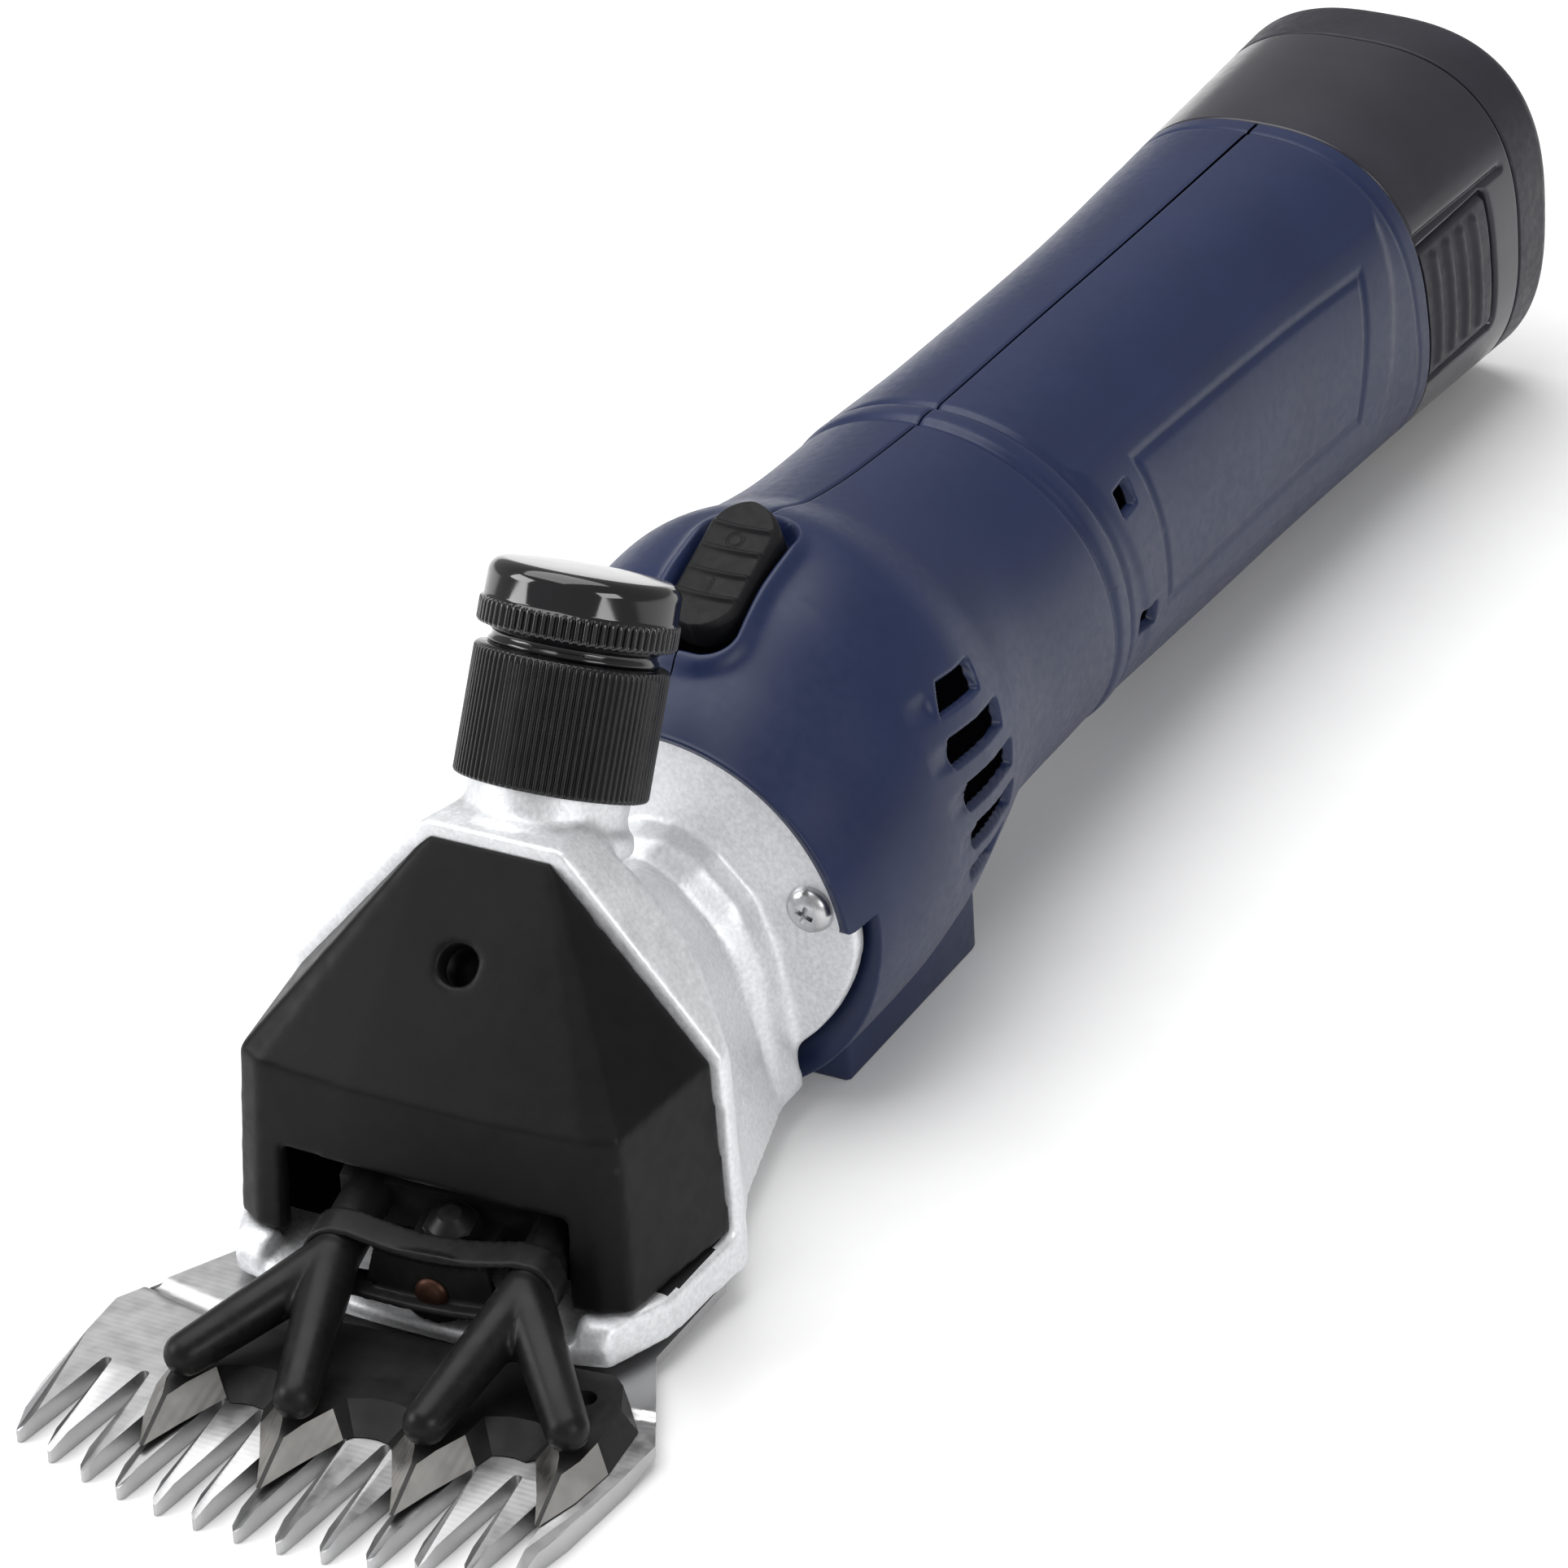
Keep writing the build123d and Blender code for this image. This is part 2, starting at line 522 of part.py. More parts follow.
# ---------------------------------------------------------------- housing
def housing():
    """Both half shells as one solid, before they are split at the seam."""
    outside = body() & box((-5, 260), (-60, 60), (0, 100))
    pad = box(PAD_X, (-PAD_HALF, PAD_HALF), (0, 22.0))
    outside = outside + fillet(pad.edges().filter_by(Axis.Z).group_by(Axis.X)[-1], 2.5)
    inner_stations = [(-1.0,) + STATIONS[0][1:]] + list(STATIONS[1:-1]) + [(251.0,) + STATIONS[-1][1:]]
    inside = body(WALL, inner_stations) & box((6.3, 260), (-60, 60), (WALL, 100))
    shell = outside - inside - behind_joint(HOUSING_REAR_TOP, JOINT_SLOPE)
    shell = shell - box((PAD_X[0] + WALL, PAD_X[1] - WALL), (-PAD_HALF + WALL, PAD_HALF - WALL),
                        (WALL, 20))
    shell = shell - rod_x(LIP_R, (-2, 7), 0, CRANK_Z)
    shell = shell - rod_x(FLANGE_R + GAP, (FLANGE_X[0] - GAP, FLANGE_X[1] + GAP), 0, CRANK_Z)
    shell = shell - box((-5, FLANGE_X[1] + GAP), (-60, 60), (-5, NOTCH_Z))
    slope = Rot(0, -SWITCH_SLOPE, 0)
    slot = slope * Pos(-SWITCH_TRAVEL / 2, 0, 0) * Box(SWITCH_LENGTH + SWITCH_TRAVEL + 0.6,
                                                    2 * SWITCH_HALF + 0.6, 14)
    shell = shell - Pos(SWITCH_MID[0], 0, SWITCH_MID[1]) * slot
    for number in range(5):
        low = 29.0 + 6.6 * number
        length = (9.0, 14.0, 15.0, 13.0, 8.0)[number]
        vent = Pos(42.0, 0, low) * Rot(0, 14, 0) * Box(length, 90, 3.0)
        shell = shell - vent
    for z in (31.5, 52.0):
        shell = shell - box((96.0, 100.5), (-60, 60), (z - 1.6, z + 1.6))
    for angle in FLANGE_SCREW_ANGLES:
        y, z = polar(FLANGE_SCREW_R, angle)
        web = Pos(0, 0, CRANK_Z) * Rot(angle, 0, 0) * Pos(12.2, FLANGE_SCREW_R + 5, 0) * Box(11.6, 14, 5)
        post = (rod_x(4.2, (FLANGE_X[1] + GAP, 18.0), y, CRANK_Z + z) + web) & body(0.5)
        shell = shell + post - rod_x(2.0, (0, 16.5), y, CRANK_Z + z)
    return shell


HOUSING_SCREWS = ((24.0, 9.0), (66.0, 17.0), (98.0, 17.0), (112.0, 56.0), (140.0, 56.0))


def housing_half(whole, side):
    half = whole & box((-10, 260), (0.02, 60) if side > 0 else (-60, -0.02), (-5, 100))
    room = body(0.6)
    for x, z in HOUSING_SCREWS:
        post = rod_y(3.6, x, (0.02, 30) if side > 0 else (-30, -0.02), z) & room
        half = half + post
        if side > 0:
            half = half - rod_y(1.6, x, (-1, 40), z) - rod_y(2.9, x, (9.0, 40), z)
        else:
            half = half - rod_y(1.45, x, (-12, 1), z)
    return half


def housing_screws():
    solids = []
    for x, z in HOUSING_SCREWS:
        solids.append(rod_y(1.4, x, (-11, 9.2), z) + rod_y(2.7, x, (9.1, 11.0), z))
    return solids


# ---------------------------------------------------------------- drive
def crankshaft():
    shaft = rod_x(SHAFT_R, (4.0, 36.0), 0, CRANK_Z)
    web = rod_x(7.5, (2.0, 4.2), 0, CRANK_Z)
    pin = rod_x(2.0, (ROLLER_X[0] - 0.2, 2.1), CRANK_THROW, CRANK_Z)
    shoulder = rod_x(5.0, (4.1, 9.9), 0, CRANK_Z)
    return shaft + web + pin + shoulder


def crank_roller():
    """A barrel-shaped roller on the crank pin."""
    middle = (ROLLER_X[0] + ROLLER_X[1]) / 2
    barrel = Pos(middle, CRANK_THROW, CRANK_Z) * Sphere(ROLLER_R) & box(ROLLER_X, (-9, 9), (9, 50))
    return barrel - rod_x(2.0 + 0.03, (-15, 2), CRANK_THROW, CRANK_Z)


def bearing(x):
    """A ball bearing along X: two rings joined by a thin shield."""
    outer = rod_x(CRANK_BEARING_R, x, 0, CRANK_Z) - rod_x(8.2, (x[0] - 1, x[1] + 1), 0, CRANK_Z)
    inner = rod_x(5.0, x, 0, CRANK_Z) - rod_x(SHAFT_R + 0.02, (x[0] - 1, x[1] + 1), 0, CRANK_Z)
    shield = (rod_x(8.3, (x[0] + 0.6, x[1] - 0.6), 0, CRANK_Z)
              - rod_x(4.9, (x[0] - 1, x[1] + 1), 0, CRANK_Z))
    return outer + inner + shield


def crank_gear():
    return gear(GEAR_TEETH, GEAR_X, SHAFT_R, CRANK_Z, turn=180.0 / GEAR_TEETH)


def gear_plate():
    outline = body(WALL + GAP) & box((30.6, 35.6), (-40, 40), (WALL + GAP, 57.5))
    plate_hole = rod_x(CRANK_BEARING_R + 0.02, (30, 37), 0, CRANK_Z)
    motor_hole = rod_x(5.2, (30, 37), 0, MOTOR_Z)
    return Solid(outline.solids()[0].wrapped) - plate_hole - motor_hole


def motor_can():
    can = rod_x(MOTOR_R, MOTOR_X, 0, MOTOR_Z) - rod_x(MOTOR_R - 1.2, (MOTOR_X[0] + 1.5, 95), 0,
                                                     MOTOR_Z)
    can = can - rod_x(3.0, (30, 45), 0, MOTOR_Z)
    return can + (rod_x(5.0, (35.8, MOTOR_X[0] + 0.2), 0, MOTOR_Z)
                  - rod_x(3.0, (30, 45), 0, MOTOR_Z))


def motor_magnets():
    solids = []
    ring = rod_x(MOTOR_R - 1.3, (44.0, 80.0), 0, MOTOR_Z) - rod_x(12.6, (40, 90), 0, MOTOR_Z)
    for side in (-1, 1):
        gap = box((40, 90), (side * 3.0, side * 30) if side > 0 else (-30, -3.0), (0, 90))
        solids.append(ring & gap)
    return solids


def motor_rear_cap():
    return (rod_x(MOTOR_R - 1.3, (MOTOR_X[1] - 6, MOTOR_X[1]), 0, MOTOR_Z)
            - rod_x(12.0, (MOTOR_X[1] - 7, MOTOR_X[1] - 2), 0, MOTOR_Z)
            - rod_x(3.0, (80, 95), 0, MOTOR_Z))


def motor_bearings():
    solids = []
    for x in ((36.2, 39.4), (MOTOR_X[1] - 2.0, MOTOR_X[1])):
        solids.append(rod_x(2.95, x, 0, MOTOR_Z) - rod_x(1.65, (30, 95), 0, MOTOR_Z))
    return solids


def motor_shaft():
    return rod_x(1.6, (18.5, 102.5), 0, MOTOR_Z)


def motor_rotor():
    """Laminated core with five slots, and the commutator behind it."""
    core = rod_x(12.0, (46.0, 76.0), 0, MOTOR_Z)
    for slot in range(5):
        y, z = polar(10.0, 90 + 72 * slot)
        core = core - rod_x(2.6, (45, 77), y, MOTOR_Z + z)
    core = core + rod_x(5.0, (75.9, 83.0), 0, MOTOR_Z)
    return core - rod_x(1.6, (40, 90), 0, MOTOR_Z)


def motor_pinion():
    return gear(PINION_TEETH, GEAR_X, 1.6, MOTOR_Z)


def cooling_fan():
    hub = rod_x(4.5, (93.0, 101.0), 0, MOTOR_Z)
    fan = hub + rod_x(16.5, (93.0, 94.4), 0, MOTOR_Z)
    for blade in range(9):
        vane = Pos(97.2, 0, MOTOR_Z) * Rot(40 * blade, 0, 0) * Pos(0, 0, 10.2) * Box(6, 1.4, 12.2)
        fan = fan + vane
    return fan - rod_x(1.6, (90, 105), 0, MOTOR_Z)


# ---------------------------------------------------------------- switch and electrics
def on_switch(shape):
    return Pos(SWITCH_MID[0], 0, SWITCH_MID[1]) * Rot(0, -SWITCH_SLOPE, 0) * shape


def switch_button():
    """A ribbed slider with a rounded rear end, on a wider sledge under the housing."""
    rear = SWITCH_LENGTH / 2
    plan = Rectangle(SWITCH_LENGTH - SWITCH_HALF, 2 * SWITCH_HALF)
    plan = Pos(-SWITCH_HALF / 2, 0) * plan + Pos(rear - SWITCH_HALF, 0) * Circle(SWITCH_HALF)
    button = Pos(0, 0, -4.0) * extrude(plan, 5.6)
    for number in range(4):
        rib = Pos(-6.5 + 4.2 * number, 0, 1.5) * Rot(90, 0, 0) * Cylinder(0.6, 9.0)
        button = button + rib
    stem = Pos(0, 0, -5.4) * Box(4.0, 3.0, 3.0)
    return on_switch(button + stem)


def micro_switch():
    case = on_switch(Pos(0, 0, -10.3) * Box(20, 10, 6.0))
    slot = on_switch(Pos(-SWITCH_TRAVEL / 2, 0, -8.0) * Box(4.6 + SWITCH_TRAVEL, 3.6, 3.0))
    return case - slot


def control_board():
    board = box((105.0, 139.0), (-14.5, 14.5), (13.0, 14.6))
    sink = box((110.0, 126.0), (-9, 9), (14.6, 16.0))
    for fin in range(5):
        y = -8.0 + 4.0 * fin
        sink = sink + box((110.0, 126.0), (y - 0.5, y + 0.5), (15.9, 23.0))
    parts = box((129.0, 136.0), (-11, -3), (14.6, 24.0)) + rod_z(4.0, 132.5, 8, (14.6, 27.0))
    return board + sink + parts


def contact_block():
    block_body = box((142.0, 149.0), (-16, 16), (22, 44))
    for y in (-10.0, 0.0, 10.0):
        block_body = block_body - box((144.0, 150.0), (y - 0.52, y + 0.52), (27.9, 38.1))
    return block_body


# ---------------------------------------------------------------- battery
def tower(inset):
    return body(inset) & box((TOWER_X, 240.0), (-60, 60), (0, TOWER_TOP))


def battery_sleeve():
    """The tower that goes into the handle, and the sleeve that continues the handle."""
    outside = body() & box((150, 260), (-60, 60), (0, 100))
    collar = (outside & behind_joint(HOUSING_REAR_TOP + 0.25, JOINT_SLOPE)
              - behind_joint(CAP_SEAM_TOP, 0.04))
    sleeve = collar + (tower(TOWER_INSET) - behind_joint(CAP_SEAM_TOP, 0.04))
    sleeve = sleeve - (body(TOWER_INSET + 1.8) & box((TOWER_X + 1.8, 260), (-60, 60), (4, 100)))
    for side in (-1, 1):
        y = (19.0, 60) if side > 0 else (-60, -19.0)
        sleeve = sleeve - box((170.0, LATCH_X[1] + 0.4), y, (LATCH_Z[0] - 0.4, LATCH_Z[1] + 1.6))
    for y in (-10.0, 0.0, 10.0):
        sleeve = sleeve - box((150.0, 155.0), (y - 1.3, y + 1.3), (26, 40))
    return sleeve


def battery_end_cap():
    outside = body() & box((200, BATTERY_END_X), (-60, 60), (0, 100))
    outside = outside & behind_joint(CAP_SEAM_TOP + 0.25, 0.04)
    rim = outside.edges().filter_by_position(Axis.X, BATTERY_END_X - 0.05, BATTERY_END_X + 0.05)
    outside = fillet(rim, 3.0)
    inside = body(2.4) & box((200, BATTERY_END_X - 2.4), (-60, 60), (2.4, 100))
    return outside - inside


def latch(side):
    """A ribbed release button, flush with the sleeve, with a hook that runs forward inside."""
    y = (20.9, 60.0) if side > 0 else (-60.0, -20.9)
    skin = body(0.15) - body(4.4)
    skin = skin & box(LATCH_X, y, LATCH_Z) & behind_joint(HOUSING_REAR_TOP + 0.3, JOINT_SLOPE)
    solid = Solid(skin.solids()[0].wrapped)
    for number in range(4):
        x = LATCH_X[0] + 5.6 + 5.0 * number
        rib = rod_z(0.8, x, side * (rib_y(x) - 0.35), (LATCH_Z[0] + 3.5, LATCH_Z[1] - 3.0))
        solid = solid + rib
    hook_y = side * (rib_y(178.0) - 4.75)
    low = min(hook_y, hook_y + side * 2.0)
    solid = solid + box((178.0, LATCH_X[0] + 8), (low, low + 2.0), (27, 35))
    return solid


def rib_y(x):
    """Half width of the body at x, between its last stations."""
    for (x0, _, w0, _, _), (x1, _, w1, _, _) in zip(STATIONS, STATIONS[1:]):
        if x0 <= x <= x1:
            return w0 + (w1 - w0) * (x - x0) / (x1 - x0)
    return STATIONS[-1][2]


def battery_cells():
    solids = []
    for y in (-1, 1):
        for z in (-1, 1):
            solids.append(rod_x(CELL_R, (170.0, 170.0 + CELL_LENGTH), y * (CELL_R + 0.15),
                                32.0 + z * (CELL_R + 0.15)))
    return solids


def cell_carrier():
    solids = []
    for x in ((167.0, 169.9), (170.1 + CELL_LENGTH, 238.0)):
        solids.append(box(x, (-17.5, 17.5), (14.0, 50.0)) & body(TOWER_INSET + 2.1))
    return solids


def battery_contacts():
    solids = []
    for y in (-10.0, 0.0, 10.0):
        solids.append(box((144.05, 160.0), (y - 0.5, y + 0.5), (28, 38)))
    return solids


def main():
    os.makedirs("parts", exist_ok=True)
    whole = housing()
    nodes = {
        "comb": (comb(), "steel"),
        "comb_screws": (comb_screws(), "steel"),
        "cutter": (cutter(), "black"),
        "fork": (fork(), "black"),
        "fork_foot_left": (fork_foot(-1), "black"),
        "fork_foot_right": (fork_foot(1), "black"),
        "fork_retainer": (fork_retainer(), "black"),
        "fork_rivet": (fork_rivet(), "copper"),
        "fork_bolt": (fork_bolt(), "black"),
        "fulcrum_post": (fulcrum_post(), "steel"),
        "head_casting": (head_casting(), "silver"),
        "head_cover": (head_cover(), "black"),
        "flange_screws": (flange_screws(), "steel"),
        "tension_sleeve": (tension_sleeve(), "black"),
        "tension_cap": (tension_cap(), "black"),
        "tension_pin": (tension_pin(), "steel"),
        "housing_left": (housing_half(whole, -1), "blue"),
        "housing_right": (housing_half(whole, 1), "blue"),
        "housing_screws": (housing_screws(), "steel"),
        "crankshaft": (crankshaft(), "steel"),
        "crank_roller": (crank_roller(), "steel"),
        "crank_bearing_front": (bearing((10.0, 16.0)), "steel"),
        "crank_bearing_rear": (bearing((30.6, 35.6)), "steel"),
        "crank_gear": (crank_gear(), "steel"),
        "gear_plate": (gear_plate(), "silver"),
        "motor_can": (motor_can(), "steel"),
        "motor_magnets": (motor_magnets(), "black"),
        "motor_rear_cap": (motor_rear_cap(), "black"),
        "motor_bearings": (motor_bearings(), "copper"),
        "motor_shaft": (motor_shaft(), "steel"),
        "motor_rotor": (motor_rotor(), "copper"),
        "motor_pinion": (motor_pinion(), "steel"),
        "cooling_fan": (cooling_fan(), "black"),
        "switch_button": (switch_button(), "black"),
        "micro_switch": (micro_switch(), "black"),
        "control_board": (control_board(), "green"),
        "contact_block": (contact_block(), "black"),
        "battery_sleeve": (battery_sleeve(), "black"),
        "battery_end_cap": (battery_end_cap(), "black"),
        "latch_left": (latch(-1), "black"),
        "latch_right": (latch(1), "black"),
        "battery_cells": (battery_cells(), "blue"),
        "cell_carrier": (cell_carrier(), "black"),
        "battery_contacts": (battery_contacts(), "copper"),
    }
    for name, (shape, colour) in nodes.items():
        solids = shape if isinstance(shape, list) else [shape]
        solids = [solid for piece in solids for solid in piece.solids()]
        moved = [Pos(ROW_X, 0, 0) * solid for solid in solids]
        part = moved[0] if len(moved) == 1 else Compound(children=moved)
        part.label = name
        part.color = COLOURS[colour]
        export_step(part, f"parts/{name}.step")


main()
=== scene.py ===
import json
import math

import bmesh
import bpy
import numpy as np
from mathutils import Matrix, Vector


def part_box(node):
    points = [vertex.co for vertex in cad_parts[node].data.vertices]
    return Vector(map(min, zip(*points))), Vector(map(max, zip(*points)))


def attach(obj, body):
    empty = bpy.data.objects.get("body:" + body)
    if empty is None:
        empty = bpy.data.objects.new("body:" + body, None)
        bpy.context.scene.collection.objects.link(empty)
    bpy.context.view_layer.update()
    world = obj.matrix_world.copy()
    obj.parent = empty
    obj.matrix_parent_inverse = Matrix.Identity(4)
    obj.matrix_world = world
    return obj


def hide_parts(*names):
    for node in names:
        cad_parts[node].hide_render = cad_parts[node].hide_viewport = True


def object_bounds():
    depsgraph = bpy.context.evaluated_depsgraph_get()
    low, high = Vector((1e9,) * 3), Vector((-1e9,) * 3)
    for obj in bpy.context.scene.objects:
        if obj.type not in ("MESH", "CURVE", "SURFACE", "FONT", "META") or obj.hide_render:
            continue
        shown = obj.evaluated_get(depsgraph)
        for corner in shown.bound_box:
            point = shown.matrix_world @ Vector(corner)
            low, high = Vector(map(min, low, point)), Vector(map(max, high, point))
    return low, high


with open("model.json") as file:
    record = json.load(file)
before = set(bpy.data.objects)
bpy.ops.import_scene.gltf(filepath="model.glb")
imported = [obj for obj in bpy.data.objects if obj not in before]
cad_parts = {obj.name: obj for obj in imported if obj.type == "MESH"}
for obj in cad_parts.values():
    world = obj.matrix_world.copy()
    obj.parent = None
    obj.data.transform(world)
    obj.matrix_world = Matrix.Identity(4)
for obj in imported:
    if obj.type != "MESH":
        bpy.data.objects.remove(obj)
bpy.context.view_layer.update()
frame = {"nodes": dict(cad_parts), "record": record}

X0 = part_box("housing_left")[0].x
TAU = 2 * math.pi


# ---------------------------------------------------------------- mesh helpers
# Shapes are written in millimetres with x = 0 at the front edge of the housing.
def linked(name, data):
    """A new object in the scene."""
    obj = bpy.data.objects.new(name, data)
    bpy.context.scene.collection.objects.link(obj)
    return obj


def place(points):
    p = np.asarray(points, float).reshape(-1, 3) * 0.001
    p[:, 0] += X0
    return p


def mesh_piece(name, points, faces, smooth=True):
    data = bpy.data.meshes.new(name)
    data.from_pydata([tuple(p) for p in place(points)], [], [tuple(f) for f in faces])
    data.validate()
    bm = bmesh.new()
    bm.from_mesh(data)
    bmesh.ops.recalc_face_normals(bm, faces=bm.faces)
    bm.to_mesh(data)
    bm.free()
    data.shade_smooth() if smooth else data.shade_flat()
    return linked(name, data)


def join(name, pieces):
    """Several meshes as one object."""
    bm = bmesh.new()
    for piece in pieces:
        bm.from_mesh(piece.data)
    data = bpy.data.meshes.new(name)
    bm.to_mesh(data)
    bm.free()
    data.shade_smooth()
    for piece in pieces:
        bpy.data.objects.remove(piece)
    return linked(name, data)


def grid_faces(rows, cols, wrap=False):
    i, j = np.meshgrid(np.arange(rows - 1), np.arange(cols if wrap else cols - 1), indexing="ij")
    k = (j + 1) % cols
    return np.stack([i * cols + j, i * cols + k, (i + 1) * cols + k, (i + 1) * cols + j], -1).reshape(-1, 4)


def rim_walls(rows, cols):
    """Walls that join the rim of a grid to the rim of its copy, which follows it in the mesh."""
    rim = list(range(cols)) + [r * cols + cols - 1 for r in range(1, rows)]
    rim += [(rows - 1) * cols + c for c in range(cols - 2, -1, -1)]
    rim += [r * cols for r in range(rows - 2, 0, -1)]
    count = rows * cols
    return [(a, b, b + count, a + count) for a, b in zip(rim, rim[1:] + rim[:1])]


def hull(points, name="hull"):
    bm = bmesh.new()
    for p in place(points):
        bm.verts.new(p)
    result = bmesh.ops.convex_hull(bm, input=bm.verts)
    loose = [v for v in bm.verts if not v.link_faces]
    bmesh.ops.delete(bm, geom=loose, context="VERTS")
    bmesh.ops.recalc_face_normals(bm, faces=bm.faces)
    data = bpy.data.meshes.new(name)
    bm.to_mesh(data)
    bm.free()
    return linked(name, data)


def both(points):
    return [(x, y, z) for x, y, z in points] + [(x, -y, z) for x, y, z in points]


def block(x, y, z):
    return hull([(a, b, c) for a in x for b in y for c in z])


def lathe(profile, turns=96, shape=None, closed=True):
    """A turned piece on Z from (radius, height) points; shape moves radii by angle."""
    pts = []
    for r, h in profile:
        for k in range(turns):
            a = TAU * k / turns
            rr = r + (shape(r, h, a) if shape else 0.0)
            pts.append((rr * math.cos(a), rr * math.sin(a), h))
    faces = [tuple(f) for f in grid_faces(len(profile), turns, True)]
    if closed:
        faces.append(tuple(range(turns))[::-1])
        faces.append(tuple(range((len(profile) - 1) * turns, len(profile) * turns)))
    return np.array(pts), faces


def turned(points, matrix):
    m = np.array(matrix)
    return np.asarray(points) @ m[:3, :3].T + m[:3, 3]


def along(start, end):
    """A matrix that carries +Z at the origin onto the line from start to end."""
    d = Vector(end) - Vector(start)
    return Matrix.Translation(start) @ d.to_track_quat("Z", "Y").to_matrix().to_4x4()


def rod(start, end, r0, r1=None, turns=48):
    length = (Vector(end) - Vector(start)).length
    pts, faces = lathe([(r0, 0.0), (r1 or r0, length)], turns)
    return mesh_piece("rod", turned(pts, along(start, end)), faces)


def capsule(start, end, r0, r1, turns=48):
    length = (Vector(end) - Vector(start)).length
    profile = [(max(0.02, r0 * math.sin(a)), -r0 * math.cos(a)) for a in np.linspace(0.05, math.pi / 2, 9)]
    profile += [(max(0.02, r1 * math.cos(a)), length + r1 * math.sin(a))
                for a in np.linspace(0, math.pi / 2 - 0.05, 9)]
    pts, faces = lathe(profile, turns)
    return mesh_piece("capsule", turned(pts, along(start, end)), faces)


def apply_modifiers(obj):
    graph = bpy.context.evaluated_depsgraph_get()
    graph.update()
    data = bpy.data.meshes.new_from_object(obj.evaluated_get(graph))
    obj.modifiers.clear()
    obj.data = data
    return obj


def add_cut(obj, tool):
    mod = obj.modifiers.new("cut", "BOOLEAN")
    mod.operation = "DIFFERENCE"
    mod.solver = "EXACT"
    mod.object = tool


def cut_away(obj, tool):
    """Cuts the tool out of the object and removes the tool."""
    add_cut(obj, tool)
    apply_modifiers(obj)
    bpy.data.objects.remove(tool)


def soft_solid(name, parts, cuts, voxel, passes):
    """Fuses the parts, cuts the cuts out, and softens every edge a little."""
    obj = join(name, parts)
    fuse = obj.modifiers.new("fuse", "REMESH")
    fuse.mode = "VOXEL"
    fuse.voxel_size = voxel * 0.001
    for cut in cuts:
        add_cut(obj, cut)
    if cuts:
        again = obj.modifiers.new("again", "REMESH")
        again.mode = "VOXEL"
        again.voxel_size = voxel * 0.001
    relax = obj.modifiers.new("relax", "SMOOTH")
    relax.factor = 0.5
    relax.iterations = passes
    apply_modifiers(obj)
    obj.data.shade_smooth()
    for cut in cuts:
        bpy.data.objects.remove(cut)
    return obj


def show(obj, body, slot, material, *nodes):
    obj.data.materials.clear()
    obj.data.materials.append(material)
    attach(obj, body)
    if nodes:
        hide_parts(*nodes)
    return obj


# ---------------------------------------------------------------- materials
def mapped(mat, source, from_low, from_high, to_low, to_high):
    """The source's range, stretched onto another range."""
    node = mat.node_tree.nodes.new("ShaderNodeMapRange")
    node.inputs["From Min"].default_value = from_low
    node.inputs["From Max"].default_value = from_high
    node.inputs["To Min"].default_value = to_low
    node.inputs["To Max"].default_value = to_high
    mat.node_tree.links.new(source, node.inputs["Value"])
    return node.outputs["Result"]


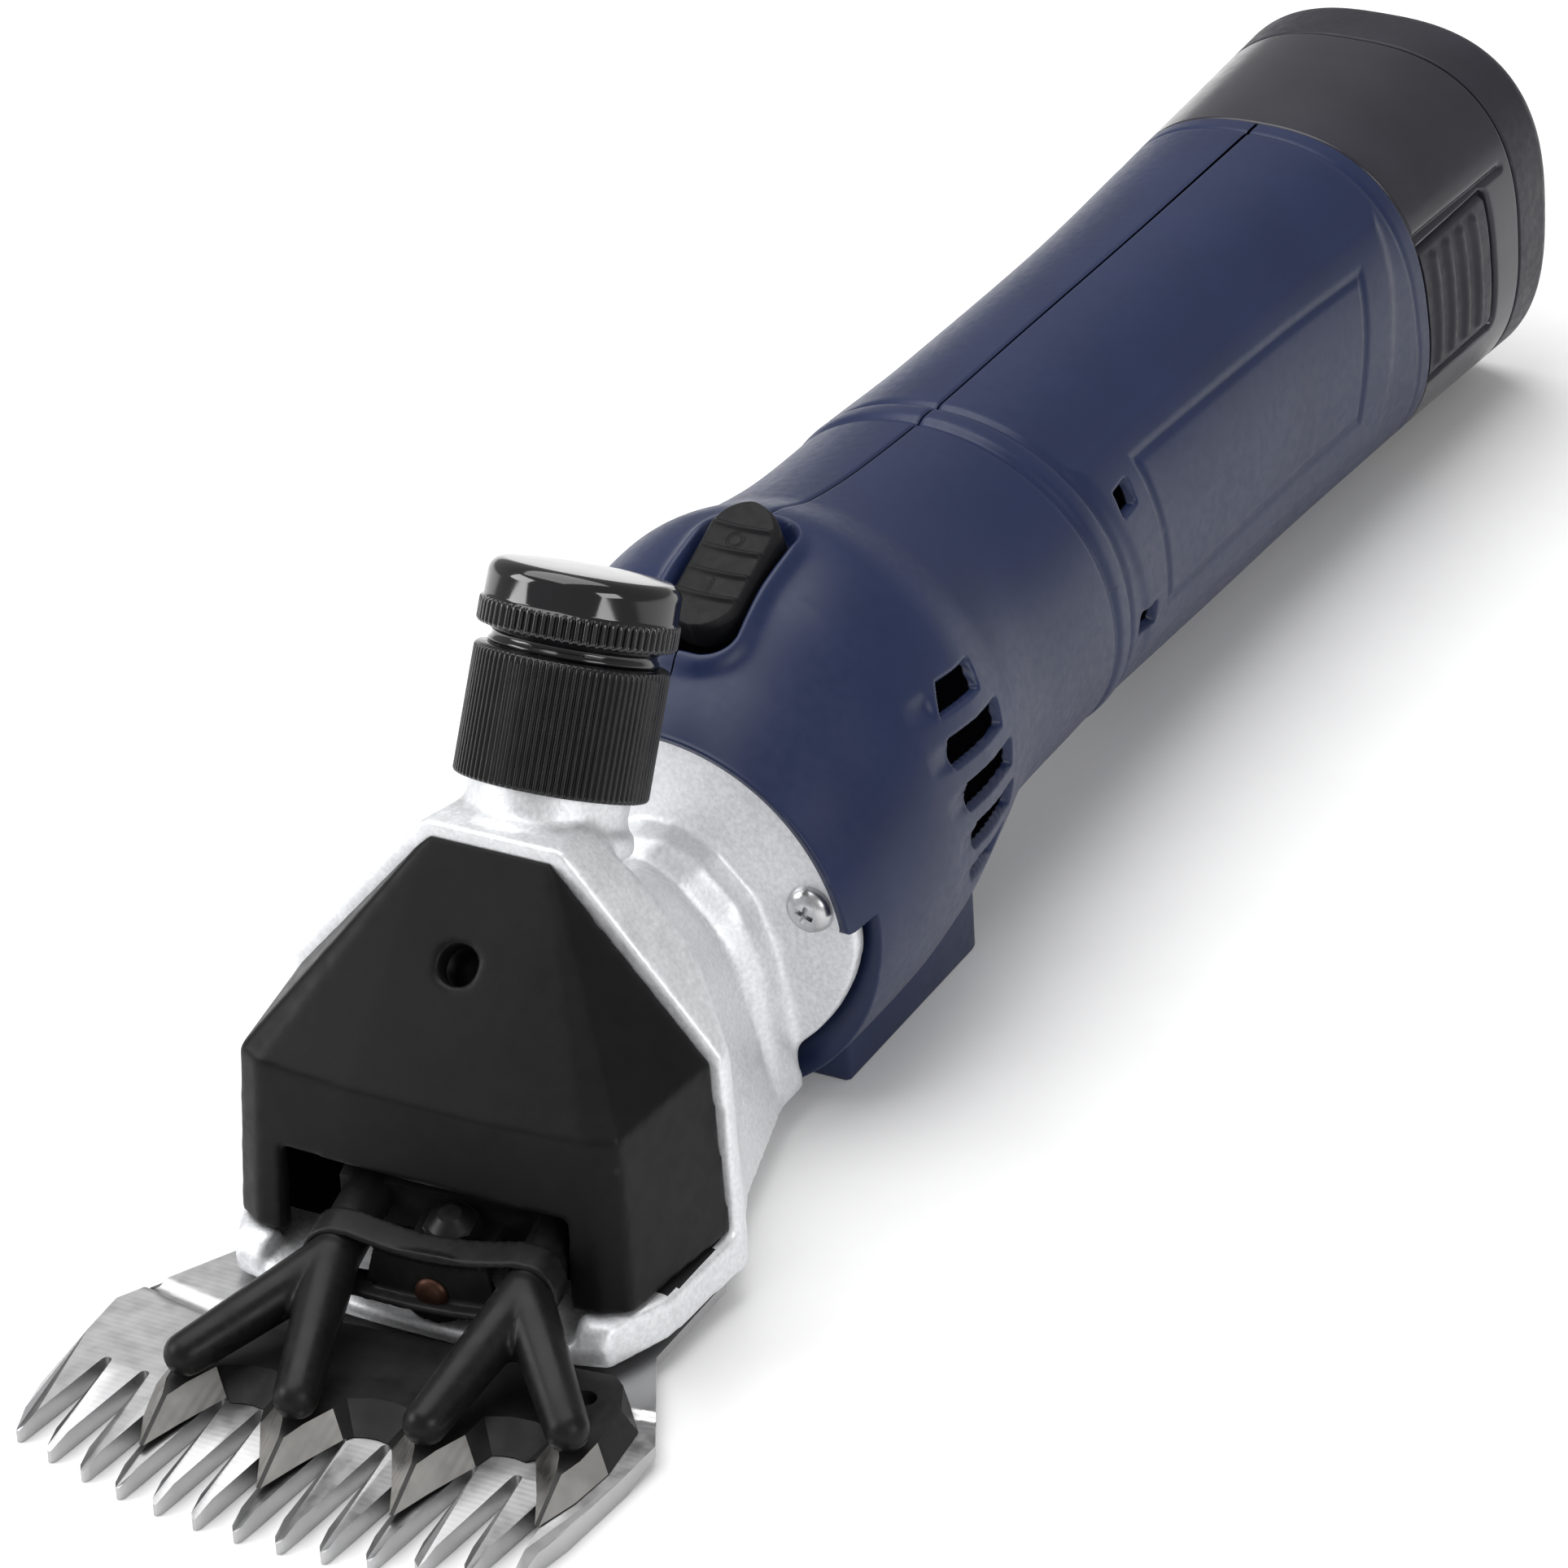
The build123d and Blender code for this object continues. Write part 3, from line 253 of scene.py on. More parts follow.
def material(name, colour, rough, metal=0.0, tone=0.12, spread=0.08, grain=900.0, bump=0.15, depth=0.00005,
             coat=0.0, wear=0.0, lines=None, speckle=0.0, specular=0.5, stretch=(1, 1, 1)):
    mat = bpy.data.materials.new(name)
    mat.use_nodes = True
    nodes = mat.node_tree.nodes
    links = mat.node_tree.links
    shader = nodes["Principled BSDF"]
    shader.inputs["Metallic"].default_value = metal
    shader.inputs["Coat Weight"].default_value = coat
    shader.inputs["Coat Roughness"].default_value = 0.12
    shader.inputs["Specular IOR Level"].default_value = specular
    where = nodes.new("ShaderNodeTexCoord")
    scale = nodes.new("ShaderNodeMapping")
    scale.inputs["Scale"].default_value = stretch
    links.new(where.outputs["Object"], scale.inputs["Vector"])

    def noise(size, detail=4.0):
        n = nodes.new("ShaderNodeTexNoise")
        n.inputs["Scale"].default_value = size
        n.inputs["Detail"].default_value = detail
        links.new(scale.outputs["Vector"], n.inputs["Vector"])
        return n.outputs["Fac"]

    def spread_of(source, low, high):
        return mapped(mat, source, 0.3, 0.7, low, high)

    broad = noise(60.0, 5.0)
    fine = noise(grain, 3.0)
    mix = nodes.new("ShaderNodeMix")
    mix.data_type = "RGBA"
    mix.inputs["A"].default_value = (*[c * (1 - tone) for c in colour], 1)
    mix.inputs["B"].default_value = (*[min(1, c * (1 + tone)) for c in colour], 1)
    links.new(spread_of(broad, 0.0, 1.0), mix.inputs["Factor"])
    colour_out = mix.outputs["Result"]
    if speckle:
        dots = nodes.new("ShaderNodeMix")
        dots.data_type = "RGBA"
        dots.inputs["B"].default_value = (*[min(1, c * (1 + speckle)) for c in colour], 1)
        links.new(colour_out, dots.inputs["A"])
        links.new(spread_of(fine, 0.0, 1.0), dots.inputs["Factor"])
        colour_out = dots.outputs["Result"]
    if wear:
        geometry = nodes.new("ShaderNodeNewGeometry")
        amount = nodes.new("ShaderNodeMath")
        amount.operation = "MULTIPLY"
        amount.inputs[1].default_value = wear
        links.new(mapped(mat, geometry.outputs["Pointiness"], 0.53, 0.62, 0.0, 1.0), amount.inputs[0])
        worn = nodes.new("ShaderNodeMix")
        worn.data_type = "RGBA"
        worn.inputs["B"].default_value = (*[min(1, 0.12 + c * 2.0) for c in colour], 1)
        links.new(amount.outputs["Value"], worn.inputs["Factor"])
        links.new(colour_out, worn.inputs["A"])
        colour_out = worn.outputs["Result"]
    links.new(colour_out, shader.inputs["Base Color"])
    links.new(spread_of(noise(grain * 0.25, 6.0), rough - spread, rough + spread), shader.inputs["Roughness"])
    height = fine
    if lines:
        axis, pitch, share = lines
        wave = nodes.new("ShaderNodeTexWave")
        wave.bands_direction = axis
        wave.inputs["Scale"].default_value = 1000.0 / pitch / 6.3
        wave.inputs["Distortion"].default_value = 0.6
        wave.inputs["Detail"].default_value = 3.0
        links.new(scale.outputs["Vector"], wave.inputs["Vector"])
        blend = nodes.new("ShaderNodeMix")
        blend.data_type = "FLOAT"
        blend.inputs["Factor"].default_value = share
        links.new(fine, blend.inputs["A"])
        links.new(wave.outputs["Fac"], blend.inputs["B"])
        height = blend.outputs["Result"]
    relief = nodes.new("ShaderNodeBump")
    relief.inputs["Strength"].default_value = bump
    relief.inputs["Distance"].default_value = depth
    links.new(height, relief.inputs["Height"])
    links.new(relief.outputs["Normal"], shader.inputs["Normal"])
    return mat


M = {
    "housing_blue": material("blue moulding", (0.0100, 0.0172, 0.055), 0.38, tone=0.10, spread=0.05, grain=2600,
                             bump=0.22, depth=0.00003, wear=0.10, specular=0.30),
    "battery_black": material("gloss black moulding", (0.019, 0.0175, 0.0245), 0.20, tone=0.2, spread=0.04,
                              grain=1400, bump=0.10, depth=0.00002, specular=0.4),
    "end_cap_black": material("textured black moulding", (0.020, 0.0195, 0.027), 0.46, tone=0.2, grain=2600,
                              bump=0.5, depth=0.00004, wear=0.10, specular=0.25),
    "cover_black": material("satin black cover", (0.0050, 0.0047, 0.0053), 0.42, tone=0.25, spread=0.06, grain=1800,
                            bump=0.3, depth=0.00004, wear=0.05, specular=0.13),
    "knob_black": material("knurled black", (0.006, 0.006, 0.007), 0.22, tone=0.3, spread=0.06, grain=1500,
                           bump=0.15, wear=0.10, specular=0.35),
    "switch_black": material("switch rubber", (0.009, 0.009, 0.010), 0.52, grain=2600, bump=0.5, wear=0.12,
                             specular=0.13),
    "cast_aluminium": material("tumbled casting", (0.66, 0.665, 0.68), 0.50, metal=0.70, tone=0.06, spread=0.08,
                               grain=1500, bump=0.5, depth=0.00010, speckle=0.22),
    "comb_steel": material("ground comb", (0.44, 0.44, 0.445), 0.36, metal=1.0, tone=0.05, spread=0.06, grain=1600,
                           bump=0.3, depth=0.00002, lines=("X", 0.5, 0.6)),
    "black_oxide": material("blackened steel", (0.0052, 0.0050, 0.0050), 0.38, metal=0.0, tone=0.35, spread=0.10,
                            grain=900, bump=0.3, depth=0.00006, wear=0.12, speckle=0.6, specular=0.17),
    "screw_steel": material("plated screw", (0.55, 0.55, 0.56), 0.28, metal=1.0, grain=1200, bump=0.2),
    "copper_rivet": material("dull copper", (0.05, 0.022, 0.014), 0.42, metal=0.8, tone=0.3, grain=900, bump=0.4),
    "machined_steel": material("turned steel", (0.5, 0.5, 0.52), 0.30, metal=1.0, bump=0.2,
                               lines=("X", 0.4, 0.6)),
    "magnet": material("ferrite", (0.04, 0.04, 0.042), 0.6, bump=0.5),
    "inner_plastic": material("inner moulding", (0.05, 0.05, 0.055), 0.5, bump=0.4),
    "windings": material("lacquered copper", (0.42, 0.2, 0.09), 0.35, metal=0.8, bump=0.6,
                         lines=("Z", 0.6, 0.8)),
    "board": material("circuit board", (0.02, 0.12, 0.05), 0.4, tone=0.3, bump=0.4),
    "cell_wrap": material("cell wrap", (0.03, 0.10, 0.30), 0.35, bump=0.2),
    "contact_metal": material("plated spring metal", (0.75, 0.55, 0.22), 0.28, metal=1.0, bump=0.2),
}
cap_gloss = material("polished cap", (0.005, 0.005, 0.006), 0.10, tone=0.3, spread=0.03, grain=1500, bump=0.04,
                     depth=0.00001, specular=0.6)
ground = material("ground edge", (0.50, 0.49, 0.47), 0.34, metal=1.0, tone=0.1, grain=1200, bump=0.35,
                  depth=0.00004, lines=("Y", 0.5, 0.8))
# painted shade: a near-black material for the inside of the casting's hollow
hollow_shade = material("oily inside of the casting", (0.012, 0.012, 0.013), 0.45, tone=0.3, bump=0.4, specular=0.2)


def paint_slot_shade(mat):
    """Paints shade: turns a moulding near black and takes away its reflection where its mesh says, in the attribute
    slot, that a cooling slot goes deep.
    """
    nodes, links = mat.node_tree.nodes, mat.node_tree.links
    shader = nodes["Principled BSDF"]
    depth = nodes.new("ShaderNodeAttribute")
    depth.attribute_name = "slot"

    def by_depth(outside, inside):
        return mapped(mat, depth.outputs["Fac"], 0.45, 0.55, outside, inside)

    mix = nodes.new("ShaderNodeMix")
    mix.data_type = "RGBA"
    # painted shade: a near-black colour that stands in for the shade inside a slot
    mix.inputs["B"].default_value = (0.001, 0.001, 0.0015, 1)
    links.new(by_depth(0.0, 1.0), mix.inputs["Factor"])
    links.new(shader.inputs["Base Color"].links[0].from_socket, mix.inputs["A"])
    links.new(mix.outputs["Result"], shader.inputs["Base Color"])
    # no reflection where the shade is painted
    specular = shader.inputs["Specular IOR Level"]
    links.new(by_depth(specular.default_value, 0.0), specular)


# painted shade in the slots, windows and switch recess of the blue housing
paint_slot_shade(M["housing_blue"])

# every CAD node first takes the finish of its slot
for part in frame["record"]["subparts"]:
    node = frame["nodes"][part["node"]]
    node.data.materials.clear()
    node.data.materials.append(M[part["material_slot"]])


# ---------------------------------------------------------------- the smooth body
# x, top, half width, bottom and the power of the section's rounding
STATIONS = np.array([
    (0.0, 58.5, 30.5, -2.0, 2.0), (10.0, 64.5, 32.5, -2.0, 2.0), (24.0, 72.0, 33.8, -2.0, 2.0),
    (36.0, 73.8, 33.2, -1.0, 2.0), (49.0, 70.0, 31.0, 3.0, 2.0), (63.0, 67.8, 28.6, 7.0, 2.0),
    (86.0, 66.0, 27.4, 7.4, 2.1), (115.0, 65.0, 25.3, 5.0, 2.2), (155.0, 63.5, 24.9, 2.8, 2.3),
    (200.0, 62.3, 26.4, 1.8, 2.5), (233.0, 61.3, 28.0, 0.5, 2.6), (250.0, 60.8, 28.6, -0.3, 2.7)])


def smooth_through(xs, ys, x):
    """A smooth curve through the stations that doesn't overshoot them."""
    h = np.diff(xs)
    d = np.diff(ys) / h
    m = np.zeros_like(ys)
    same = d[:-1] * d[1:] > 0
    w1 = 2 * h[1:] + h[:-1]
    w2 = h[1:] + 2 * h[:-1]
    m[1:-1][same] = (w1 + w2)[same] / (w1[same] / d[:-1][same] + w2[same] / d[1:][same])
    m[0], m[-1] = d[0], d[-1]
    i = np.clip(np.searchsorted(xs, x) - 1, 0, len(h) - 1)
    t = (x - xs[i]) / h[i]
    return ((1 + 2 * t) * (1 - t) ** 2 * ys[i] + t * (1 - t) ** 2 * h[i] * m[i]
            + t * t * (3 - 2 * t) * ys[i + 1] + t * t * (t - 1) * h[i] * m[i + 1])


def section_at(x):
    """The body's top, half width, bottom and roundness at each x."""
    return (smooth_through(STATIONS[:, 0], STATIONS[:, k], x) for k in range(1, 5))


def body_points(x, turn, inset=0.0):
    top, half, low, power = section_at(x)
    c, s = np.cos(turn), np.sin(turn)
    y = (half - inset) * np.sign(c) * np.abs(c) ** (2 / power)
    z = (top - low - 2 * inset) / 2 * np.sign(s) * np.abs(s) ** (2 / power) + (top + low) / 2
    return np.stack([x + 0 * y, y, z], -1)


def normals_of(p):
    a = np.gradient(p, axis=0)
    b = np.gradient(p, axis=1)
    n = np.cross(b, a)
    n /= np.linalg.norm(n, axis=-1, keepdims=True) + 1e-12
    out = p[..., 1:] - np.array([0.0, 32.0])
    flip = np.sign((n[..., 1:] * out).sum(-1, keepdims=True))
    return n * flip


def bump_at(d, width):
    return np.exp(-(d / width) ** 2)


def step_in(d, soft):
    """1 inside (d < 0), 0 outside, with a soft edge."""
    return 1 / (1 + np.exp(np.clip(d / soft, -40, 40)))


def rounded_box(u, v, hu, hv, r):
    """Distance to a rounded rectangle."""
    qu = np.abs(u) - hu + r
    qv = np.abs(v) - hv + r
    return np.hypot(np.maximum(qu, 0), np.maximum(qv, 0)) + np.minimum(np.maximum(qu, qv), 0) - r


def deeper_than(edge, d):
    """Crosses one half where the distance d passes the edge on its way in, for the attribute slot that marks painted
    shade.
    """
    return np.clip(0.5 - (d - edge) / 0.8, 0, 1)


def polygon_distance(x, z, corners):
    """Signed distance to a convex polygon given anticlockwise, rounded outside."""
    best = np.full(x.shape, -1e9)
    for (x0, z0), (x1, z1) in zip(corners, corners[1:] + corners[:1]):
        length = math.hypot(x1 - x0, z1 - z0)
        best = np.maximum(best, ((x - x0) * (z1 - z0) - (z - z0) * (x1 - x0)) / length)
    return best


SLOPE = math.radians(23)
SWITCH_X, SWITCH_Z = 24.6, 70.6
VENT_TILT = 0.13
VENTS = ((34.6, 53.6, 13.0), (36.6, 46.0, 16.5), (38.6, 38.4, 17.0), (39.8, 31.2, 16.0), (40.0, 24.6, 12.5))


def joint_x(z):
    """Where the slanting joint with the battery lies at each height."""
    return 195.65 + 0.16 * (62.3 - z)


def housing_relief(p):
    """How far the skin stands out, and how much of each point belongs to the depth of a slot, where shade is painted.
    """
    x, y, z = p[..., 0], p[..., 1], p[..., 2]
    d = np.zeros(x.shape)
    slot_shade = np.zeros(x.shape)
    # the recess of the switch, with a soft rail round it
    u = (x - SWITCH_X) * math.cos(SLOPE) + (z - SWITCH_Z) * math.sin(SLOPE)
    upper = z > 55
    slot_d = rounded_box(u + 1.0, y, 13.2, 6.5, 4.5)
    rail = rounded_box(u + 2.6, y, 14.2, 8.2, 6.5)
    d += upper * 1.3 * step_in(rail, 0.55)
    recess = upper * step_in(slot_d, 0.14)
    d -= 4.4 * recess
    # painted shade on the walls and floor of the switch recess
    slot_shade = np.maximum(slot_shade, upper * deeper_than(-0.8, slot_d))
    # the ring round the neck
    s = x - 84.8 - 0.24 * (66.0 - z)
    d -= 0.45 * bump_at(s + 3.2, 0.8) + 0.55 * bump_at(s - 2.4, 0.8)
    d += 0.35 * step_in(np.abs(s + 0.4) - 2.2, 0.5)
    # the long raised panel on each side, and its inner field
    side = np.abs(y) > 14
    outer = [(91.0, 57.5), (104.0, 21.5), (186.0, 17.5), (191.0, 52.5)]
    inner = [(106.0, 52.5), (109.5, 28.0), (176.5, 24.8), (181.0, 47.4)]
    od = polygon_distance(x, z, outer)
    idist = polygon_distance(x, z, inner)
    d += side * 0.55 * step_in(od, 0.45)
    d -= side * 0.40 * bump_at(idist, 0.65)
    # cooling slots in a hollow, and two small windows behind
    lens = ((x - 38.0) / 11.5) ** 2 + ((z - 39.5) / 19.5) ** 2
    for vx, vz, length in VENTS:
        du = (x - vx) * math.cos(VENT_TILT) - (z - vz) * math.sin(VENT_TILT)
        dv = (x - vx) * math.sin(VENT_TILT) + (z - vz) * math.cos(VENT_TILT)
        vd = rounded_box(du, dv, length / 2, 1.95, 0.4)
        vd = np.maximum(vd, (lens - 1.0) * 6.0)
        d -= side * 1.85 * step_in(vd, 0.10)
        # painted shade at the bottom of each cooling slot
        slot_shade = np.maximum(slot_shade, side * deeper_than(-0.12, vd))
        ahead = du + length / 2
        ramp = step_in(np.abs(dv + 0.1) - 1.3, 0.3) * np.clip((ahead + 6) / 6, 0, 1) * step_in(ahead, 0.3)
        d -= side * 0.9 * ramp
    for wx, wz in ((98.8, 50.0), (101.8, 29.0)):
        wd = rounded_box(x - wx, z - wz, 2.4, 1.7, 0.3)
        d -= side * 2.0 * step_in(wd, 0.10)
        # painted shade at the bottom of each small window
        slot_shade = np.maximum(slot_shade, side * deeper_than(-0.12, wd))
    # a shallow line that runs beside the joint with the battery
    d -= 0.22 * bump_at(x - joint_x(z) + 3.4, 0.5)
    return d, slot_shade


def rounded_rings(p, n, row, direction, radius, reach):
    """Rings that round the grid's first or last row inwards and then reach into the body."""
    rings = []
    for k in range(1, 7):
        a = k / 6 * math.pi / 2
        ring = p[row] - n[row] * (radius * (1 - math.cos(a)))
        ring[:, 0] += direction * radius * math.sin(a)
        rings.append(ring)
    rings.append(rings[-1] - n[row] * reach)
    return rings


def shell_half(name, side, rows=620, cols=300):
    """Half of the handle's skin, from the casting to the battery."""
    eps = 0.0035
    turn = np.linspace(math.pi / 2 - eps, -math.pi / 2 + eps, cols)
    if side < 0:
        turn = math.pi - turn
    s = np.linspace(0, 1, rows)
    guess = body_points(np.full(cols, 196.0), turn)
    end = joint_x(guess[:, 2])
    for _ in range(3):
        end = joint_x(body_points(end, turn)[:, 2])
    front = body_points(np.full(cols, 3.0), turn)
    first = 0.4 + 5.9 * step_in(front[:, 2] - 33.5, 0.25)
    x = first[None, :] + s[:, None] * (end - first)[None, :]
    p = body_points(x, np.broadcast_to(turn, x.shape))
    n = normals_of(p)
    d, slot_shade = housing_relief(p)
    # the seam between the halves
    d = d - 0.35 * bump_at(p[..., 1], 0.22) * (p[..., 0] > 37)
    q = p + n * d[..., None]
    q[..., 1] = side * np.maximum(side * q[..., 1], 0.03)
    q[..., 2] = np.maximum(q[..., 2], 0.05)

    def turned_in(row, direction, reach):
        """A rounded edge that goes inwards and then runs back under the wall."""
        rings = rounded_rings(q, n, row, direction, 0.5, reach)
        inside = rings[-1].copy()
        inside[:, 0] -= direction * 9.0
        return rings + [inside]

    lead = turned_in(0, -1, 1.0 + 3.5 * step_in(q[0][:, 2:] - 33.0, 0.3))
    tail = turned_in(-1, 1, 2.0)
    stack = np.concatenate([np.array(lead[::-1]), q, np.array(tail)], 0)
    stack[..., 0] = np.maximum(stack[..., 0], 0.02)
    stack[..., 1] = side * np.maximum(side * stack[..., 1], 0.03)
    stack[..., 2] = np.maximum(stack[..., 2], 0.03)
    rows_all = stack.shape[0]
    faces = grid_faces(rows_all, cols)
    if side > 0:
        faces = faces[:, ::-1]
    # the painted shade of slots and recesses goes into the mesh as the attribute slot
    deep = np.zeros((rows_all, cols))
    deep[len(lead):len(lead) + rows] = slot_shade
    obj = mesh_piece(name, stack.reshape(-1, 3), faces)
    obj.data.materials.append(M["housing_blue"])
    depth = obj.data.attributes.new("slot", "FLOAT", "POINT")
    depth.data.foreach_set("value", deep.reshape(-1).astype(np.float32))
    return obj


def foot_pad(side):
    """Half of the square pad under the front of the handle."""
    outline = [(12.4, 0.04), (12.4, 21.4), (12.9, 21.9)]
    outline += [(50.3 + 2.6 * math.sin(a), 19.3 + 2.6 * math.cos(a)) for a in np.linspace(0, math.pi / 2, 8)]
    outline += [(52.9, 0.04)]
    rings = []
    mid = 32.6
    for z, shrink in ((0.02, 0.5), (0.15, 0.15), (0.5, 0.0), (13.0, 0.0), (16.0, 0.6), (20.0, 4.0)):
        rings.append([(mid + (x - mid) * (1 - shrink / 20), side * (y if y < 1 else y - shrink), z)
                      for x, y in outline])
    cols = len(outline)
    pts = np.array(rings).reshape(-1, 3)
    faces = [tuple(f) for f in grid_faces(len(rings), cols)]
    faces.append(tuple(range(cols)))
    return mesh_piece("pad", pts, faces)


for side, node in ((-1, "housing_left"), (1, "housing_right")):
    shell = shell_half("shell_" + node[8:], side)
    pad = foot_pad(side)
    pad.data.materials.append(M["housing_blue"])
    for piece, name in ((shell, "shell_" + node[8:]), (pad, "pad_" + node[8:])):
        piece.name = name
        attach(piece, "handle")
        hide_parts(node)


# ---------------------------------------------------------------- battery
def ring_surface(x_of_z, x_to_z, rows, cols, inset=0.0, relief=None):
    """A closed band of the body's surface between two slanting planes, with its normals."""
    turn = np.linspace(0, TAU, cols, endpoint=False)

    def solve(f):
        x = f(np.full(cols, 32.0))
        for _ in range(4):
            x = f(body_points(x, turn)[:, 2])
        return x
    a, b = solve(x_of_z), solve(x_to_z)
    s = np.linspace(0, 1, rows)
    x = a[None, :] + s[:, None] * (b - a)[None, :]
    p = body_points(x, np.broadcast_to(turn, x.shape), inset)
    n = normals_of(p)
    if relief is not None:
        p = p + n * relief(p)[..., None]
    return p, n


LATCH_X, LATCH_Z, LATCH_SLOPE = 211.75, 31.0, 0.10


def latch_field(p):
    x, z = p[..., 0], p[..., 2]
    return rounded_box(x - LATCH_X + LATCH_SLOPE * (z - LATCH_Z), z - LATCH_Z, 12.4, 12.7, 1.5)


def sleeve_relief(p):
    side = np.abs(p[..., 1]) > 15
    d = -3.2 * side * step_in(latch_field(p), 0.15)
    along_x = p[..., 0] - 212
    slit = side * bump_at(p[..., 2] - (45.2 - 0.03 * along_x), 0.45) * step_in(np.abs(along_x) - 17, 0.3)
    return d - 0.9 * slit


def cap_joint_x(z, start):
    """Where the sleeve ends, or the end cap starts, at each height."""
    return start + 0.04 * (61 - z)


def close_rings(name, rings):
    stack = np.array(rings)
    rows, cols = stack.shape[:2]
    stack[..., 2] = np.maximum(stack[..., 2], 0.03)
    faces = [tuple(f) for f in grid_faces(rows, cols, True)]
    return mesh_piece(name, stack.reshape(-1, 3), faces)


p, n = ring_surface(lambda z: joint_x(z) + 0.95, lambda z: cap_joint_x(z, 231.0), 160, 420, 0.0, sleeve_relief)
rings = rounded_rings(p, n, 0, -1, 0.5, 4.0)[::-1] + list(p) + rounded_rings(p, n, -1, 1, 0.5, 2.0)
collar = close_rings("collar", rings)
p, n = ring_surface(lambda z: 152.0 + 0 * z, lambda z: joint_x(z) + 3, 40, 240, 3.4)
tower = close_rings("tower", [p[0] * [1, 0.05, 0.05] + [0, 0, 30]] + [p[0] - n[0] * 1.0] + list(p))
show(join("battery_body", [collar, tower]), "battery", "battery_black", M["battery_black"], "battery_sleeve")

p, n = ring_surface(lambda z: cap_joint_x(z, 232.3), lambda z: 241.6 + 0 * z, 40, 420)
rings = rounded_rings(p, n, 0, -1, 0.4, 4.0)[::-1] + list(p)
centre_z = p[-1][:, 2].mean()
END_RADIUS = 4.0
for k in range(1, 13):
    a = k / 12 * math.pi / 2
    ring = p[-1] - n[-1] * (END_RADIUS * (1 - math.cos(a)))
    ring[:, 0] = p[-1][:, 0] + END_RADIUS * math.sin(a)
    rings.append(ring)
base_ring = rings[-1].copy()
for shrink in (0.9, 0.6, 0.3, 0.01):
    ring = base_ring.copy()
    ring[:, 1] = base_ring[:, 1] * shrink
    ring[:, 2] = centre_z + (base_ring[:, 2] - centre_z) * shrink
    rings.append(ring)
show(close_rings("end_cap", rings), "battery", "end_cap_black", M["end_cap_black"], "battery_end_cap")


def latch_piece(name, side):
    """A flush release button with four upright ribs."""
    cols, rows = 150, 170
    v = np.linspace(18.9, 43.4, rows)
    u = np.linspace(-12.0, 12.0, cols)
    uu, vv = np.meshgrid(u, v)
    x = LATCH_X + uu - LATCH_SLOPE * (vv - LATCH_Z)
    x = np.maximum(x, joint_x(vv) + 0.9)
    top, half, low, power = section_at(x.ravel())
    top, half, low, power = (v.reshape(x.shape) for v in (top, half, low, power))
    zz = (vv - (top + low) / 2) / ((top - low) / 2)
    y = half * (1 - np.abs(zz) ** power) ** (1 / power)
    d = -0.1 - 1.2 * (1 - step_in(rounded_box(uu, vv - 31.1, 11.7, 12.0, 1.6), 0.2))
    for k in range(4):
        rib = rounded_box(uu + 7.2 - 4.6 * k, vv - 31.2, 0.95, 10.2, 0.9)
        d = d + 0.75 * step_in(rib, 0.22)
    y = y + d
    pts = np.stack([x, side * y, vv], -1)
    back = pts.copy()
    back[..., 1] = side * (np.abs(pts[..., 1]) - 3.0)
    faces = [tuple(f) for f in grid_faces(rows, cols)] + rim_walls(rows, cols)
    face = mesh_piece(name, np.concatenate([pts.reshape(-1, 3), back.reshape(-1, 3)]), faces)
    arm = block((178.2, 208), sorted((side * 20.95, side * 22.6)), (27.1, 34.9))
    return join(name + "_button", [face, arm])


for side, name in ((-1, "latch_left"), (1, "latch_right")):
    piece = latch_piece(name, side)
    show(piece, "release_" + name[6:], "end_cap_black", M["end_cap_black"], name)


# ---------------------------------------------------------------- head casting
ARCH = [(20.2, 4.4), (18.9, 10.6), (18.2, 18.2), (17.0, 26.2), (14.0, 34.4), (8.3, 40.2), (2.3, 42.8)]
LEAN = math.radians(27.7)
knob_frame = Matrix.Translation((-25.0, 0, 63.8)) @ Matrix.Rotation(LEAN, 4, "Y")


def on_knob(low, high, r0, r1=None, turns=72):
    a = knob_frame @ Vector((0, 0, low))
    b = knob_frame @ Vector((0, 0, high))
    return rod(a, b, r0, r1, turns)


FLANGE_Z = 27.8
FLANGE_R = 29.6
SCREW_SPOTS = [(23.6 * math.cos(math.radians(a)), FLANGE_Z + 23.6 * math.sin(math.radians(a))) for a in (16.0, 164.0)]


def flange_disc():
    """A disc whose lower edge follows the shallower arc of the handle's mouth."""
    outline = []
    for k in range(120):
        a = TAU * k / 120
        y, z = FLANGE_R * math.cos(a), FLANGE_Z + FLANGE_R * math.sin(a)
        lower = 33.9 - math.sqrt(max(0, 29.9 ** 2 - y * y))
        outline.append((y, max(z, lower)))
    return hull([(x, y, z) for y, z in outline for x in (3.0, 6.0)])


